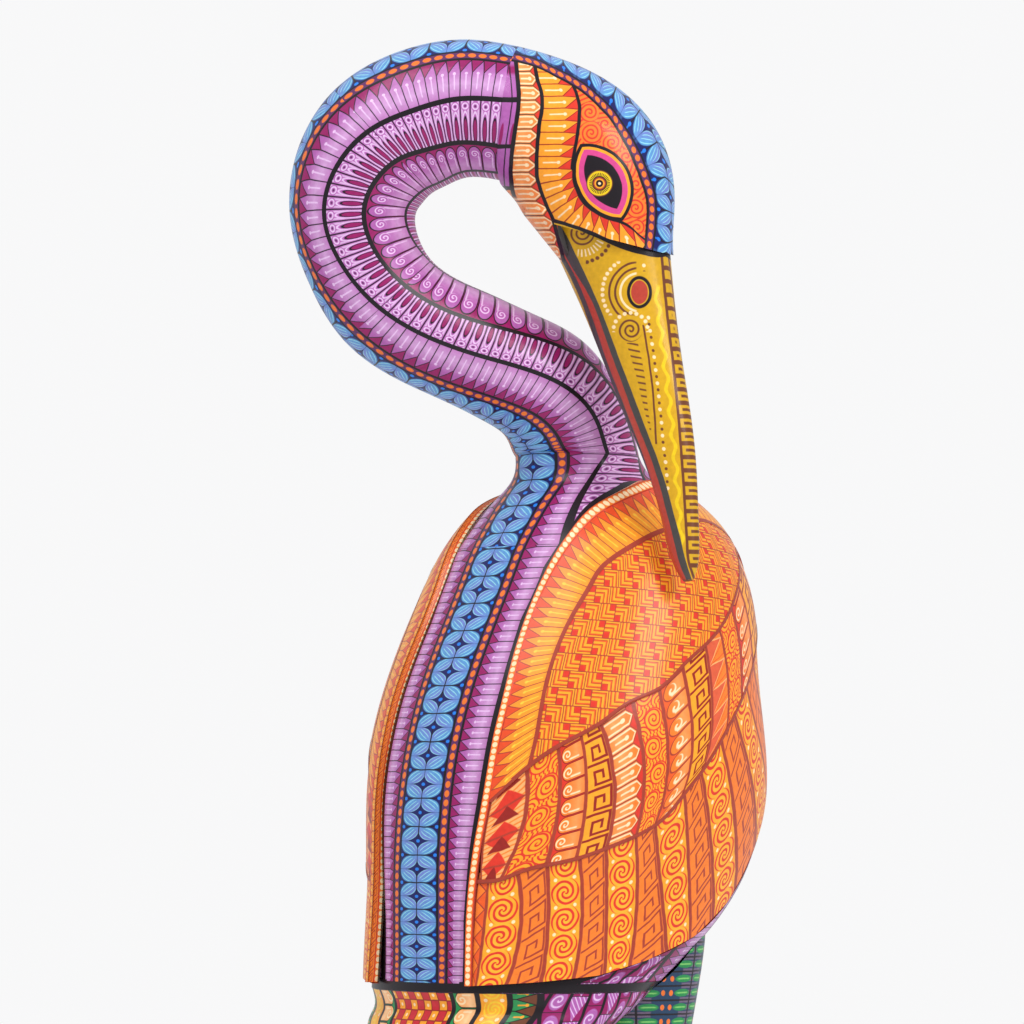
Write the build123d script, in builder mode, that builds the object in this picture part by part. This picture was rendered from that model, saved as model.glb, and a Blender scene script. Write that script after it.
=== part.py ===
from build123d import *
import os
from math import cos, pi, radians, sin

# A painted wooden wading bird, standing upright with its neck looped back and its bill
# resting beside its right shoulder. The bird faces +Y, its right side is +X, +Z is up.
# The origin is the centre of the plinth's underside. All sizes are in millimetres.

# ---- driving dimensions ----
BASE_RADIUS = 134
BASE_TOP = 30
FELT = 2
LEG_X = 33                 # each leg stands this far from the middle
LEG_Y = 15
SEAM_Z = 327.5             # the tail meets the torso here
NECK_Z = 592               # the neck meets the shoulders here
NECK_RADIUS = 31
TOE_LENGTH = 62
FOOT_THICKNESS = 13
HOCK_Z = 246
TOE_ANGLES = (-22, 8, 38)  # from straight ahead, positive turns outwards
HIND_TOE_ANGLE = 188
HIND_TOE_LENGTH = 34

PIN_RADIUS = 4
PIN_INTO_BASE = 22
PIN_INTO_LEG = 70
SLEEVE_RADIUS = 6.5
SLEEVE_CLEARANCE = 0.05
DOWEL_RADIUS = 6
SMALL_DOWEL_RADIUS = 4
DOWEL_REACH = 18           # each dowel goes this far into either side of its joint
WING_DOWELS = ((425, 98), (505, 91))    # height, and how far out the outer end is
WING_DOWEL_LENGTH = 26
GLUE_GAP = 0.15            # glue line between the wing shells and the torso

# ---- horizontal sections: height, centre along Y, half width, half depth ----
TORSO = [
    (SEAM_Z, -39, 75, 63),
    (350, -21.5, 80, 80.5),
    (384, -5.5, 88, 96.5),
    (432, 0, 96, 97),
    (480, 4, 92, 86),
    (528, 13, 82.5, 71),
    (545, 14.3, 73.5, 63.5),
    (560, 15, 61, 54),
    (570, 13.5, 49, 45),
    (578, 11.5, 39, 37),
    (585, 9, 33, 33),
    (NECK_Z, 6.5, NECK_RADIUS, NECK_RADIUS),
]
WING_OUTSIDE = [
    (318, -25, 84, 86),
    (340, -19, 88, 90),
    (384, -5.5, 93, 100.5),
    (432, 0, 101, 100),
    (480, 4, 97.5, 89.5),
    (528, 13, 88, 74.5),
    (545, 14.3, 79.5, 67.5),
    (560, 15, 67.5, 58.5),
    (570, 14, 56, 50),
    (578, 13, 44, 41),
    (582, 12, 36, 35),
]
WING_INSIDE_BELOW = [
    (318, -25, 78.5, 80.5),
    (340, -19, 82.5, 84.5),
    (384, -5.5, 87.5, 95),
    (432, 0, 90, 90),
]
TAIL = [
    (SEAM_Z, -39, 75, 63),
    (312, -52, 71, 50.5),
    (294, -63.5, 66, 38.8),
    (270, -72.5, 60, 29.5),
    (240, -79.5, 53, 22),
    (212, -85, 45, 16),
    (199, -87.3, 39.5, 12.8),
    (193, -88.3, 34, 9),
    (191.5, -88.5, 28, 6),
]

# ---- leg: height and radius ----
THIGH = [(372, 33), (350, 34), (320, 29.5), (290, 24), (264, 18.5), (HOCK_Z, 15)]
SHANK = [
    (HOCK_Z, 15), (240, 15.8), (231, 15), (219, 12.6), (200, 11), (170, 10.5),
    (130, 10.4), (90, 10.7), (64, 11.6), (BASE_TOP + FOOT_THICKNESS, 14),
]

# ---- neck: points of the middle line from the shoulders to the head, and the radius there ----
NECK = [
    ((0, 6.5, NECK_Z), NECK_RADIUS),
    ((0, -3, 612), 30.5),
    ((-3, -14.5, 626), 30.5),
    ((-10, -30, 635), 29.5),
    ((-20, -51, 645), 29),
    ((-30.5, -67.5, 653.5), 29),
    ((-42, -83.5, 667.5), 29.5),
    ((-49, -93.5, 687.5), 29.5),
    ((-52, -98, 709), 31.2),
    ((-49, -96.3, 728.5), 33.6),
    ((-40, -88.8, 746.3), 35.2),
    ((-25.8, -76.2, 757.4), 35.2),
    ((-8, -62, 762.3), 34.1),
    ((10, -48, 759), 33.4),
]
NECK_LOWER_END = 6         # numbers in the list above
NECK_BEND_END = 10

# ---- head: middle points, half depth from crown to throat, half width ----
HEAD = [
    ((10, -48, 759), 33.4, 33.4),
    ((20.4, -40.2, 753), 35.2, 34.4),
    ((30.4, -32.9, 744.6), 37.8, 35.5),
    ((38.2, -27.2, 735), 39.4, 36),
    ((44.3, -23.2, 723.5), 39, 35),
    ((49, -21.2, 711), 36, 32.5),
    ((52, -20.5, 699), 32.5, 29),
    ((55, -20, 687), 29.5, 25.5),
    ((58.5, -19.5, 674), 27, 22),
]
BILL = [
    ((47.5, -21.2, 714), 33, 24),
    ((53.2, -20.6, 695.5), 29.8, 22),
    ((59, -19.4, 676), 26.2, 18.5),
    ((66.6, -18.2, 651), 22.2, 15),
    ((78, -16.2, 614.5), 17.6, 11),
    ((85.8, -15, 590), 14.2, 8.6),
    ((94.5, -14.6, 551), 9.2, 5.8),
    ((98.8, -15.2, 531), 5.2, 4.2),
    ((99.8, -15.4, 526), 2.4, 2.4),
]
LOOP_SIDE = (0.72, -0.69, 0)            # the loop of the neck lies square to this direction
HEAD_ROLL = 30                          # the crown is turned this many degrees out of the loop's plane
GAPE = (33, -41, 703)                   # corner of the mouth
CULMEN_ROOT = (71, -1.5, 688.5)         # where the crown meets the top edge of the bill
MOUTH_DEPTH = 0.55                      # the mouth line, as a share of the bill's half depth


def stacked(sections, points=16):
    """A solid lofted through horizontal ovals, each one started at the bird's back."""
    turn = [2 * pi * k / points for k in range(points)]
    with BuildPart() as stack:
        for height, centre_y, half_width, half_depth in sections:
            with BuildSketch(Plane.XY.offset(height)):
                with BuildLine():
                    Spline([(half_width * sin(a), centre_y - half_depth * cos(a)) for a in turn],
                           periodic=True)
                make_face()
        loft()
    return stack.part


def directions(points):
    """The middle line's direction at each of its points."""
    last = len(points) - 1
    pairs = [(points[max(k - 1, 0)], points[min(k + 1, last)]) for k in range(last + 1)]
    return [(Vector(*after) - Vector(*before)).normalized() for before, after in pairs]


def tube(planes, sizes):
    """A solid lofted through ovals on the given planes: half depth along x, half width along y."""
    with BuildPart() as form:
        for plane, (half_depth, half_width) in zip(planes, sizes):
            turn = [2 * pi * k / 16 for k in range(16)]
            with BuildSketch(plane):
                with BuildLine():
                    Spline([(half_depth * cos(a), half_width * sin(a)) for a in turn], periodic=True)
                make_face()
        loft()
    return form.part


os.makedirs("parts", exist_ok=True)

# ---- plinth, felt, sleeves and pins ----
PIN_PLACES = [(side * LEG_X, LEG_Y) for side in (-1, 1)]

with BuildPart() as base:
    with BuildSketch(Plane.XY.offset(FELT)):
        Circle(BASE_RADIUS)
    extrude(amount=BASE_TOP - FELT)
    fillet(base.edges().group_by(Axis.Z)[-1], radius=6)
    chamfer(base.edges().group_by(Axis.Z)[0], length=1.5)
    with Locations(*[(x, y, BASE_TOP) for x, y in PIN_PLACES]):
        Hole(SLEEVE_RADIUS, depth=PIN_INTO_BASE + 2)

with BuildPart() as base_felt:
    with BuildSketch():
        Circle(BASE_RADIUS - 6)
    extrude(amount=FELT)

with BuildPart() as pin_sleeves:
    with BuildSketch(Plane.XY.offset(BASE_TOP - PIN_INTO_BASE - 2)):
        with Locations(*PIN_PLACES):
            Circle(SLEEVE_RADIUS)
            Circle(PIN_RADIUS + SLEEVE_CLEARANCE, mode=Mode.SUBTRACT)
    extrude(amount=PIN_INTO_BASE + 2)

with BuildPart() as leg_pins:
    with BuildSketch(Plane.XY.offset(BASE_TOP - PIN_INTO_BASE)):
        with Locations(*PIN_PLACES):
            Circle(PIN_RADIUS)
    extrude(amount=PIN_INTO_BASE + PIN_INTO_LEG)
    chamfer(leg_pins.edges().group_by(Axis.Z)[0], length=1)

# ---- planes along the neck, the head and the bill ----
def line_planes(points, roll=0):
    """Planes square to a middle line, with x pointing to the crown side of the loop."""
    planes = []
    for point, direction in zip(points, directions(points)):
        side = Vector(*LOOP_SIDE)
        side = (side - direction * side.dot(direction)).normalized()
        crown = side.cross(direction) * cos(radians(roll)) + side * sin(radians(roll))
        planes.append(Plane(origin=point, x_dir=crown, z_dir=direction))
    return planes


NECK_PLANES = line_planes([point for point, _ in NECK])
NECK_PLANES[0] = Plane(origin=NECK[0][0], x_dir=NECK_PLANES[0].x_dir, z_dir=(0, 0, 1))
HEAD_PLANES = line_planes([point for point, _, _ in HEAD], HEAD_ROLL)
HEAD_PLANES[0] = Plane(
    origin=HEAD[0][0], x_dir=HEAD_PLANES[0].x_dir, z_dir=NECK_PLANES[-1].z_dir)
BILL_PLANES = line_planes([point for point, _, _ in BILL], HEAD_ROLL)

# the slanted plane where the bill leaves the face, and the plane of the closed mouth
BILL_SIDE = BILL_PLANES[3].y_dir
FACE_LINE = (Vector(*CULMEN_ROOT) - Vector(*GAPE)).normalized()
FACE_PLANE = Plane(origin=GAPE, x_dir=FACE_LINE, z_dir=BILL_SIDE.cross(FACE_LINE))
MOUTH_BACK = Vector(*BILL[1][0]) - BILL_PLANES[1].x_dir * (MOUTH_DEPTH * BILL[1][1])
MOUTH_FRONT = Vector(*BILL[6][0]) - BILL_PLANES[6].x_dir * (MOUTH_DEPTH * BILL[6][1])
MOUTH_LINE = (MOUTH_FRONT - MOUTH_BACK).normalized()
MOUTH_PLANE = Plane(origin=MOUTH_BACK, x_dir=MOUTH_LINE, z_dir=BILL_SIDE.cross(MOUTH_LINE))

# ---- dowels: hidden pins that hold the glued joints ----
HEAD_PLANE = NECK_PLANES[-1]
BILL_AXIS = (Vector(*BILL[4][0]) - Vector(*BILL[1][0])).normalized()
BILL_DOWEL_MIDDLE = (53.5, -20.5, 690)

with BuildPart() as neck_dowels:
    for joint in (NECK_PLANES[0], NECK_PLANES[NECK_LOWER_END], NECK_PLANES[NECK_BEND_END], HEAD_PLANE):
        with BuildSketch(joint):
            Circle(DOWEL_RADIUS)
        extrude(amount=DOWEL_REACH, both=True)

with BuildPart() as bill_dowel:
    with BuildSketch(Plane(origin=BILL_DOWEL_MIDDLE, z_dir=BILL_AXIS)):
        Circle(SMALL_DOWEL_RADIUS)
    extrude(amount=16, both=True)

with BuildPart() as wing_dowels:
    for side in (-1, 1):
        for height, reach in WING_DOWELS:
            with BuildSketch(Plane(origin=(side * reach, 5, height), z_dir=(-side, 0, 0))):
                Circle(SMALL_DOWEL_RADIUS)
            extrude(amount=WING_DOWEL_LENGTH)

with BuildPart() as tail_dowels:
    with BuildSketch(Plane.XY.offset(SEAM_Z)):
        with Locations((-38, -60), (38, -60)):
            Circle(DOWEL_RADIUS)
    extrude(amount=DOWEL_REACH, both=True)

with BuildPart() as leg_dowels:
    with BuildSketch(Plane.XY.offset(HOCK_Z)):
        with Locations(*PIN_PLACES):
            Circle(SMALL_DOWEL_RADIUS)
    extrude(amount=DOWEL_REACH, both=True)

# ---- torso and tail ----
torso_form = stacked(TORSO)
with BuildPart() as torso:
    add(torso_form)
    add(neck_dowels.part, mode=Mode.SUBTRACT)
    add(wing_dowels.part, mode=Mode.SUBTRACT)
    add(tail_dowels.part, mode=Mode.SUBTRACT)

tail_form = stacked(TAIL)
with BuildPart() as tail:
    add(tail_form)
    add(tail_dowels.part, mode=Mode.SUBTRACT)

# ---- wings: shells on the flanks, cut to the folded wing's outline ----
SIDE_OUTLINE = [
    (-150, 326), (-104, 327), (-72, 332), (-35, 341), (-6, 352), (28, 369), (58, 398),
    (77, 432), (83, 476), (78, 522), (60, 556), (34, 575), (12, 577), (-14, 568),
    (-40, 564), (-150, 562),
]
BACK_EDGE = [(33, 300), (32, 400), (42, 480), (44, 528), (49, 560), (50, 600)]

wing_outside = stacked(WING_OUTSIDE)
wing_inside = stacked(WING_INSIDE_BELOW)
torso_with_glue = stacked([(z, y, width + GLUE_GAP, depth + GLUE_GAP) for z, y, width, depth in TORSO])
with BuildPart() as right_wing:
    add(wing_outside)
    with BuildSketch(Plane.YZ) as side_view:
        with BuildLine():
            Polyline(SIDE_OUTLINE[-1], SIDE_OUTLINE[0], SIDE_OUTLINE[1])
            Spline(SIDE_OUTLINE[1:-1])
            Line(SIDE_OUTLINE[-2], SIDE_OUTLINE[-1])
        make_face()
    extrude(amount=140, mode=Mode.INTERSECT)
    with BuildSketch(Plane.XZ.offset(-120)) as back_view:
        with BuildLine():
            Spline(BACK_EDGE)
            Polyline(BACK_EDGE[-1], (150, 600), (150, 300), BACK_EDGE[0])
        make_face()
    extrude(amount=260, mode=Mode.INTERSECT)
    add(wing_inside, mode=Mode.SUBTRACT)
    add(torso_with_glue, mode=Mode.SUBTRACT)
    add(wing_dowels.part, mode=Mode.SUBTRACT)

with BuildPart() as left_wing:
    mirror(right_wing.part, about=Plane.YZ)

# ---- neck: three lengths, each glued and dowelled to the next ----
NECK_ENDS = [0, NECK_LOWER_END, NECK_BEND_END, len(NECK) - 1]
neck_forms = [
    tube(NECK_PLANES[start:end + 1], [(radius, radius) for _, radius in NECK[start:end + 1]])
    for start, end in zip(NECK_ENDS, NECK_ENDS[1:])
]

with BuildPart() as neck_lower:
    add(neck_forms[0])
    add(neck_dowels.part, mode=Mode.SUBTRACT)

with BuildPart() as neck_bend:
    add(neck_forms[1])
    add(neck_dowels.part, mode=Mode.SUBTRACT)

with BuildPart() as neck_upper:
    add(neck_forms[2])
    add(neck_dowels.part, mode=Mode.SUBTRACT)

# ---- head and bill ----
head_form = tube(HEAD_PLANES, [(depth, width) for _, depth, width in HEAD])
bill_form = tube(BILL_PLANES, [(depth, width) for _, depth, width in BILL])

with BuildPart() as head:
    add(head_form)
    split(bisect_by=HEAD_PLANES[0], keep=Keep.TOP)
    split(bisect_by=FACE_PLANE, keep=Keep.TOP)
    add(neck_dowels.part, mode=Mode.SUBTRACT)
    add(bill_dowel.part, mode=Mode.SUBTRACT)

with BuildPart() as upper_bill:
    add(bill_form)
    split(bisect_by=FACE_PLANE, keep=Keep.BOTTOM)
    split(bisect_by=MOUTH_PLANE, keep=Keep.TOP)
    add(bill_dowel.part, mode=Mode.SUBTRACT)

with BuildPart() as lower_bill:
    add(bill_form)
    split(bisect_by=FACE_PLANE, keep=Keep.BOTTOM)
    split(bisect_by=MOUTH_PLANE, keep=Keep.BOTTOM)

# ---- legs: the thigh is hollowed to fit under the belly and beside the tail ----
def leg_length(sections):
    """A round, tapering length of the right leg."""
    with BuildPart() as form:
        for height, radius in sections:
            with BuildSketch(Plane.XY.offset(height)):
                with Locations((LEG_X, LEG_Y)):
                    Circle(radius)
        loft()
    return form.part


def toe(angle, length, root=9, tip=5):
    """The flat outline of one toe, from under the ankle to its tip, drawn out to full thickness."""
    reach = (LEG_X + length * sin(radians(angle)), LEG_Y + length * cos(radians(angle)))
    with BuildPart() as form:
        with BuildSketch(Plane.XY.offset(BASE_TOP)):
            with Locations((LEG_X, LEG_Y)):
                Circle(root)
            with Locations(reach):
                Circle(tip)
            make_hull()
        extrude(amount=FOOT_THICKNESS)
        fillet(form.edges().group_by(Axis.Z)[-1], radius=3.5)
    return form.part


thigh_form = leg_length(THIGH)
with BuildPart() as right_thigh:
    add(thigh_form)
    add(torso_form, mode=Mode.SUBTRACT)
    add(tail_form, mode=Mode.SUBTRACT)
    add(leg_dowels.part, mode=Mode.SUBTRACT)

shank_form = leg_length(SHANK)
with BuildPart() as right_shank:
    add(shank_form)
    add(leg_dowels.part, mode=Mode.SUBTRACT)
    add(leg_pins.part, mode=Mode.SUBTRACT)

toes = [toe(angle, TOE_LENGTH) for angle in TOE_ANGLES] + [toe(HIND_TOE_ANGLE, HIND_TOE_LENGTH)]
with BuildPart() as right_foot:
    for each in toes:
        add(each)
    with BuildSketch(Plane.XY.offset(BASE_TOP)):
        with Locations((LEG_X, LEG_Y)):
            Circle(SHANK[-1][1])
    extrude(amount=FOOT_THICKNESS)
    add(leg_pins.part, mode=Mode.SUBTRACT)

with BuildPart() as left_thigh:
    mirror(right_thigh.part, about=Plane.YZ)

with BuildPart() as left_shank:
    mirror(right_shank.part, about=Plane.YZ)

with BuildPart() as left_foot:
    mirror(right_foot.part, about=Plane.YZ)

# ---- write one file for each piece ----
pieces = {
    "base": base,
    "base_felt": base_felt,
    "pin_sleeves": pin_sleeves,
    "leg_pins": leg_pins,
    "right_foot": right_foot,
    "left_foot": left_foot,
    "right_shank": right_shank,
    "left_shank": left_shank,
    "right_thigh": right_thigh,
    "left_thigh": left_thigh,
    "leg_dowels": leg_dowels,
    "tail": tail,
    "tail_dowels": tail_dowels,
    "torso": torso,
    "right_wing": right_wing,
    "left_wing": left_wing,
    "wing_dowels": wing_dowels,
    "neck_lower": neck_lower,
    "neck_bend": neck_bend,
    "neck_upper": neck_upper,
    "neck_dowels": neck_dowels,
    "head": head,
    "upper_bill": upper_bill,
    "lower_bill": lower_bill,
    "bill_dowel": bill_dowel,
}
for name, piece in pieces.items():
    piece.part.label = name
    export_step(piece.part, f"parts/{name}.step")
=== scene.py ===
from math import atan, cos, pi, radians, sin

import bmesh
import bpy
import numpy as np
from mathutils import Matrix, Vector


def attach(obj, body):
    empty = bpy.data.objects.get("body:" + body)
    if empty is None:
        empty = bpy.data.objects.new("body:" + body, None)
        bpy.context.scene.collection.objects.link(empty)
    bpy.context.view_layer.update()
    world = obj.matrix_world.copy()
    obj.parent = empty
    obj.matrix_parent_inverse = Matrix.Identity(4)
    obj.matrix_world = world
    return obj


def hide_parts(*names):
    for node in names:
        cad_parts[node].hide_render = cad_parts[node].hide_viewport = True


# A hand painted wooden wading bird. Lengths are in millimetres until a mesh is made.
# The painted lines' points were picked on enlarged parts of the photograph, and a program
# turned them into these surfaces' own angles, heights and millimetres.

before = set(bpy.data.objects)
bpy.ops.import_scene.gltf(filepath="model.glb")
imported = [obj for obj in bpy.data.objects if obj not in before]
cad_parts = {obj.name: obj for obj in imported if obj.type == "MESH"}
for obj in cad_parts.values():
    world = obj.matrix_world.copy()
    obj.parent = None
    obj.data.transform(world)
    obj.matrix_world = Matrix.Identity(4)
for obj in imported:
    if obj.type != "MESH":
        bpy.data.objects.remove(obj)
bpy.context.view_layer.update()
MM = 0.001

# ---- the body's own sections, as in the CAD: height, centre along Y, half width, half depth ----
TORSO = [
    (327.5, -39, 75, 63), (350, -21.5, 80, 80.5), (384, -5.5, 88, 96.5), (432, 0, 96, 97),
    (480, 4, 92, 86), (528, 13, 82.5, 71), (545, 14.3, 73.5, 63.5), (560, 15, 61, 54),
    (570, 13.5, 49, 45), (578, 11.5, 39, 37), (585, 9, 33, 33), (592, 6.5, 31, 31),
]
WING = [
    (318, -25, 84, 86), (340, -19, 88, 90), (384, -5.5, 93, 100.5), (432, 0, 101, 100),
    (480, 4, 97.5, 89.5), (528, 13, 88, 74.5), (545, 14.3, 79.5, 67.5), (560, 15, 67.5, 58.5),
    (570, 14, 56, 50), (578, 13, 44, 41), (582, 12, 36, 35),
]
# the neck's middle line: point, radius, how far the painted back line turns out of the loop's plane,
# and the angles from that line to the three black lines along the neck
NECK = [
    ((0, 6.5, 592), 31, 43.8, (75, 121, 155)),
    ((0, -3, 612), 30.5, 38.5, (76, 116, 154)),
    ((-3, -14.5, 626), 30.5, 28, (73, 110, 154)),
    ((-10, -30, 635), 29.5, 21, (71, 106, 155)),
    ((-20, -51, 645), 29, 12, (71, 104, 156)),
    ((-30.5, -67.5, 653.5), 29, 10, (70, 102, 155)),
    ((-42, -83.5, 667.5), 29.5, 10, (67, 100, 153)),
    ((-49, -93.5, 687.5), 29.5, 2.5, (66, 101, 150)),
    ((-52, -98, 709), 31.2, 1, (64, 101, 148)),
    ((-49, -96.3, 728.5), 33.6, 6, (67, 102, 147)),
    ((-40, -88.8, 746.3), 35.2, 15, (68, 101, 145)),
    ((-25.8, -76.2, 757.4), 35.2, 20, (69, 103, 144)),
    ((-8, -62, 762.3), 34.1, 20, (70, 107, 143)),
    ((10, -48, 759), 33.4, 18, (69, 109, 142)),
]
NECK_LOWER_END, NECK_BEND_END = 6, 10     # the points where its glued lengths meet
LOOP_SIDE = np.array([0.72, -0.69, 0.0])     # square to the plane of the neck's loop
BAND_EDGES = (12.8, 14.2, 18.2, 19.6)      # from the back line to the edges of flowers, line, dots, line
NECK_BAND_EDGES = (22.5, 24.5, 31.6, 34.2)   # the same edges along the neck, in degrees

# ---- camera: it looks along the bird's right rear, a little upwards ----
VIEW_AZIMUTH = radians(46)
RIGHT = np.array([cos(VIEW_AZIMUTH), sin(VIEW_AZIMUTH), 0])
TOWARDS = np.array([sin(VIEW_AZIMUTH), -cos(VIEW_AZIMUTH), 0])


# ---- curves and surfaces ----

def spline(knots, values):
    """A natural cubic spline through the values; returns a function of position along the knots."""
    x = np.asarray(knots, float)
    y = np.asarray(values, float).reshape(len(x), -1)
    gap = np.diff(x)[:, None]
    system = np.zeros((len(x), len(x)))
    target = np.zeros_like(y)
    system[0, 0] = system[-1, -1] = 1
    for k in range(1, len(x) - 1):
        before, after = gap[k - 1, 0], gap[k, 0]
        system[k, k - 1:k + 2] = before, 2 * (before + after), after
        target[k] = 6 * ((y[k + 1] - y[k]) / after - (y[k] - y[k - 1]) / before)
    bend = np.linalg.solve(system, target)

    def at(position):
        position = np.asarray(position, float)
        k = np.clip(np.searchsorted(x, position, side="right") - 1, 0, len(x) - 2)
        past = (position - x[k])[..., None]
        left = (x[k + 1] - position)[..., None]
        cubic = (bend[k] * left ** 3 + bend[k + 1] * past ** 3) / (6 * gap[k])
        start = (y[k] / gap[k] - bend[k] * gap[k] / 6) * left
        return cubic + start + (y[k + 1] / gap[k] - bend[k + 1] * gap[k] / 6) * past
    return at


def line_through(points):
    """Straight pieces through (position, value) pairs."""
    at, value = zip(*points)
    return lambda position: np.interp(position, at, value)


def unit(vectors):
    return vectors / np.linalg.norm(vectors, axis=-1, keepdims=True)


class Body:
    """A surface of horizontal ovals, read by the angle from the back and the height."""

    def __init__(self, sections):
        self.section = spline([s[0] for s in sections], [s[1:] for s in sections])

    def __call__(self, angle, height, out=0):
        angle, height = np.broadcast_arrays(np.radians(angle), np.asarray(height, float))
        centre, width, depth = np.moveaxis(self.section(height), -1, 0)
        x = (width + out) * np.sin(angle)
        y = centre - (depth + out) * np.cos(angle)
        return np.stack([x, y, height], -1)

    def across(self, distance, height):
        """The angle at a distance from the back line, in degrees."""
        width = self.section(height)[..., 1]
        return np.degrees(np.arcsin(distance / width))

    def middle(self, height):
        height = np.asarray(height, float)
        centre = self.section(height)[..., 0]
        return np.stack([0 * height, centre, height], -1)


class Tube:
    """The neck, read by the angle from the painted back line and the length along it."""

    def __init__(self, stations):
        points = np.array([s[0] for s in stations], float)
        steps = np.linalg.norm(np.diff(points, axis=0), axis=1)
        self.stations = np.concatenate([[0], np.cumsum(steps)])
        last = len(points) - 1
        ways = np.array([points[min(k + 1, last)] - points[max(k - 1, 0)] for k in range(last + 1)])
        ways[0] = (0, 0, 1)
        self.point = spline(self.stations, points)
        self.way = spline(self.stations, unit(ways))
        self.radius = spline(self.stations, [s[1] for s in stations])
        self.turn = spline(self.stations, [s[2] for s in stations])

    def __call__(self, angle, length):
        angle, length = np.broadcast_arrays(np.radians(angle), np.asarray(length, float))
        way = unit(self.way(length))
        side = unit(LOOP_SIDE - way * (way @ LOOP_SIDE)[..., None])
        turn = np.radians(self.turn(length))
        crown = np.cross(side, way) * np.cos(turn) + side * np.sin(turn)
        towards = np.cross(way, crown)
        spoke = crown * np.cos(angle)[..., None] + towards * np.sin(angle)[..., None]
        return self.point(length) + self.radius(length) * spoke

    def middle(self, length):
        return self.point(np.asarray(length, float))


torso_surface = Body(TORSO)
wing_surface = Body(WING)
neck_surface = Tube(NECK)


# ---- meshes ----

class Skin:
    """A painted shell made of grids of points, each with its own paint coordinates and material."""

    def __init__(self, name):
        self.name = name
        self.count = 0
        self.points, self.quads, self.paint, self.slots = [], [], [], []
        self.materials = []

    def add(self, points, u, v, material, inside):
        """points is a grid, u and v are its paint coordinates, and the surface faces away from inside."""
        rows, columns = points.shape[:2]
        index = self.count + np.arange(rows * columns).reshape(rows, columns)
        quads = np.stack([index[:-1, :-1], index[1:, :-1], index[1:, 1:], index[:-1, 1:]], -1).reshape(-1, 4)
        corner = points[:-1, :-1]
        normal = np.cross(points[1:, :-1] - corner, points[:-1, 1:] - corner)
        outward = points - inside
        if (normal * outward[:-1, :-1]).sum() < 0:
            quads = quads[:, ::-1]
        paint = np.stack(np.broadcast_arrays(u + np.zeros((rows, columns)), v), -1).reshape(-1, 2)
        if material not in self.materials:
            self.materials.append(material)
        self.points.append(points.reshape(-1, 3))
        self.quads.append(quads)
        self.paint.append(paint)
        self.slots.append(np.full(len(quads), self.materials.index(material)))
        self.count += rows * columns

    def make(self, body, slot, *nodes):
        """The mesh object, standing for the named CAD nodes."""
        parts = (self.points, self.paint, self.quads, self.slots)
        points, paint, quads, slots = [np.concatenate(part) for part in parts]
        _, first, where = np.unique(np.round(points, 2), axis=0, return_index=True, return_inverse=True)
        where = where.reshape(-1)
        faces, coordinates, kept = [], [], []
        for quad, slot_number in zip(quads, slots):
            corners = []
            for k in quad:
                if where[k] not in [where[c] for c in corners]:
                    corners.append(k)
            if len(corners) > 2:
                faces.append([int(where[k]) for k in corners])
                coordinates.extend(paint[k] for k in corners)
                kept.append(slot_number)
        mesh = bpy.data.meshes.new(self.name)
        mesh.from_pydata((points[first] * MM).tolist(), [], faces)
        layer = mesh.uv_layers.new(name="paint")
        layer.uv.foreach_set("vector", np.array(coordinates, np.float32).ravel())
        for material in self.materials:
            mesh.materials.append(material)
        mesh.polygons.foreach_set("material_index", np.array(kept, np.int32))
        mesh.polygons.foreach_set("use_smooth", np.ones(len(kept), bool))
        mesh.update()
        made = placed(self.name, mesh)
        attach(made, body)
        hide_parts(*nodes)


def along(points):
    """Length along each row of a grid, in the first direction."""
    steps = np.linalg.norm(np.diff(points, axis=0), axis=-1)
    return np.concatenate([np.zeros((1, points.shape[1])), np.cumsum(steps, axis=0)])


def placed(name, data):
    """A new object in the scene."""
    made = bpy.data.objects.new(name, data)
    bpy.context.scene.collection.objects.link(made)
    return made


# ---- sums inside a material ----

def feed(tree, node, inputs):
    """Links sockets to a node's inputs and sets its constants."""
    for name, value in inputs.items():
        if isinstance(value, bpy.types.NodeSocket):
            tree.links.new(value, node.inputs[name])
        else:
            node.inputs[name].default_value = value


def add_node(tree, kind, inputs, **settings):
    """A shader node with its settings and its inputs, by name or number; gives back its outputs."""
    node = tree.nodes.new("ShaderNode" + kind)
    for name, value in settings.items():
        setattr(node, name, value)
    feed(tree, node, inputs)
    return node.outputs


class Value:
    """A number that varies over a surface, with ordinary arithmetic."""

    def __init__(self, tree, socket):
        self.tree = tree
        self.socket = socket

    def __neg__(self):
        return calc("MULTIPLY", self, -1)

    def __abs__(self):
        return calc("ABSOLUTE", self)


# Value + other, other + Value and so on
for sign, kind in (("add", "ADD"), ("sub", "SUBTRACT"), ("mul", "MULTIPLY"), ("truediv", "DIVIDE")):
    setattr(Value, f"__{sign}__", lambda self, other, kind=kind: calc(kind, self, other))
    setattr(Value, f"__r{sign}__", lambda self, other, kind=kind: calc(kind, other, self))


def calc(kind, *inputs, clamp=False):
    """One sum on Values and plain numbers."""
    tree = next(v.tree for v in inputs if isinstance(v, Value))
    sockets = {k: v.socket if isinstance(v, Value) else v for k, v in enumerate(inputs)}
    return Value(tree, add_node(tree, "Math", sockets, operation=kind, use_clamp=clamp)[0])


def fract(a):
    return calc("FRACT", a)


def whole(a):
    return calc("FLOOR", a)


def least(first, second):
    return calc("MINIMUM", first, second)


def most(first, second):
    return calc("MAXIMUM", first, second)


def root(a):
    return calc("SQRT", a)


def below(distance, edge, soft=0.06):
    """1 where the distance is under the edge, 0 past it, with a soft step of that width."""
    if isinstance(edge, Value):
        distance, edge = distance - edge, 0.0
    return calc("MULTIPLY_ADD", distance, -1 / soft, 0.5 + edge / soft, clamp=True)


def stroke(distance, half, soft=0.06):
    return below(abs(distance), half, soft)


def outside(mask):
    return 1 - mask


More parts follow.
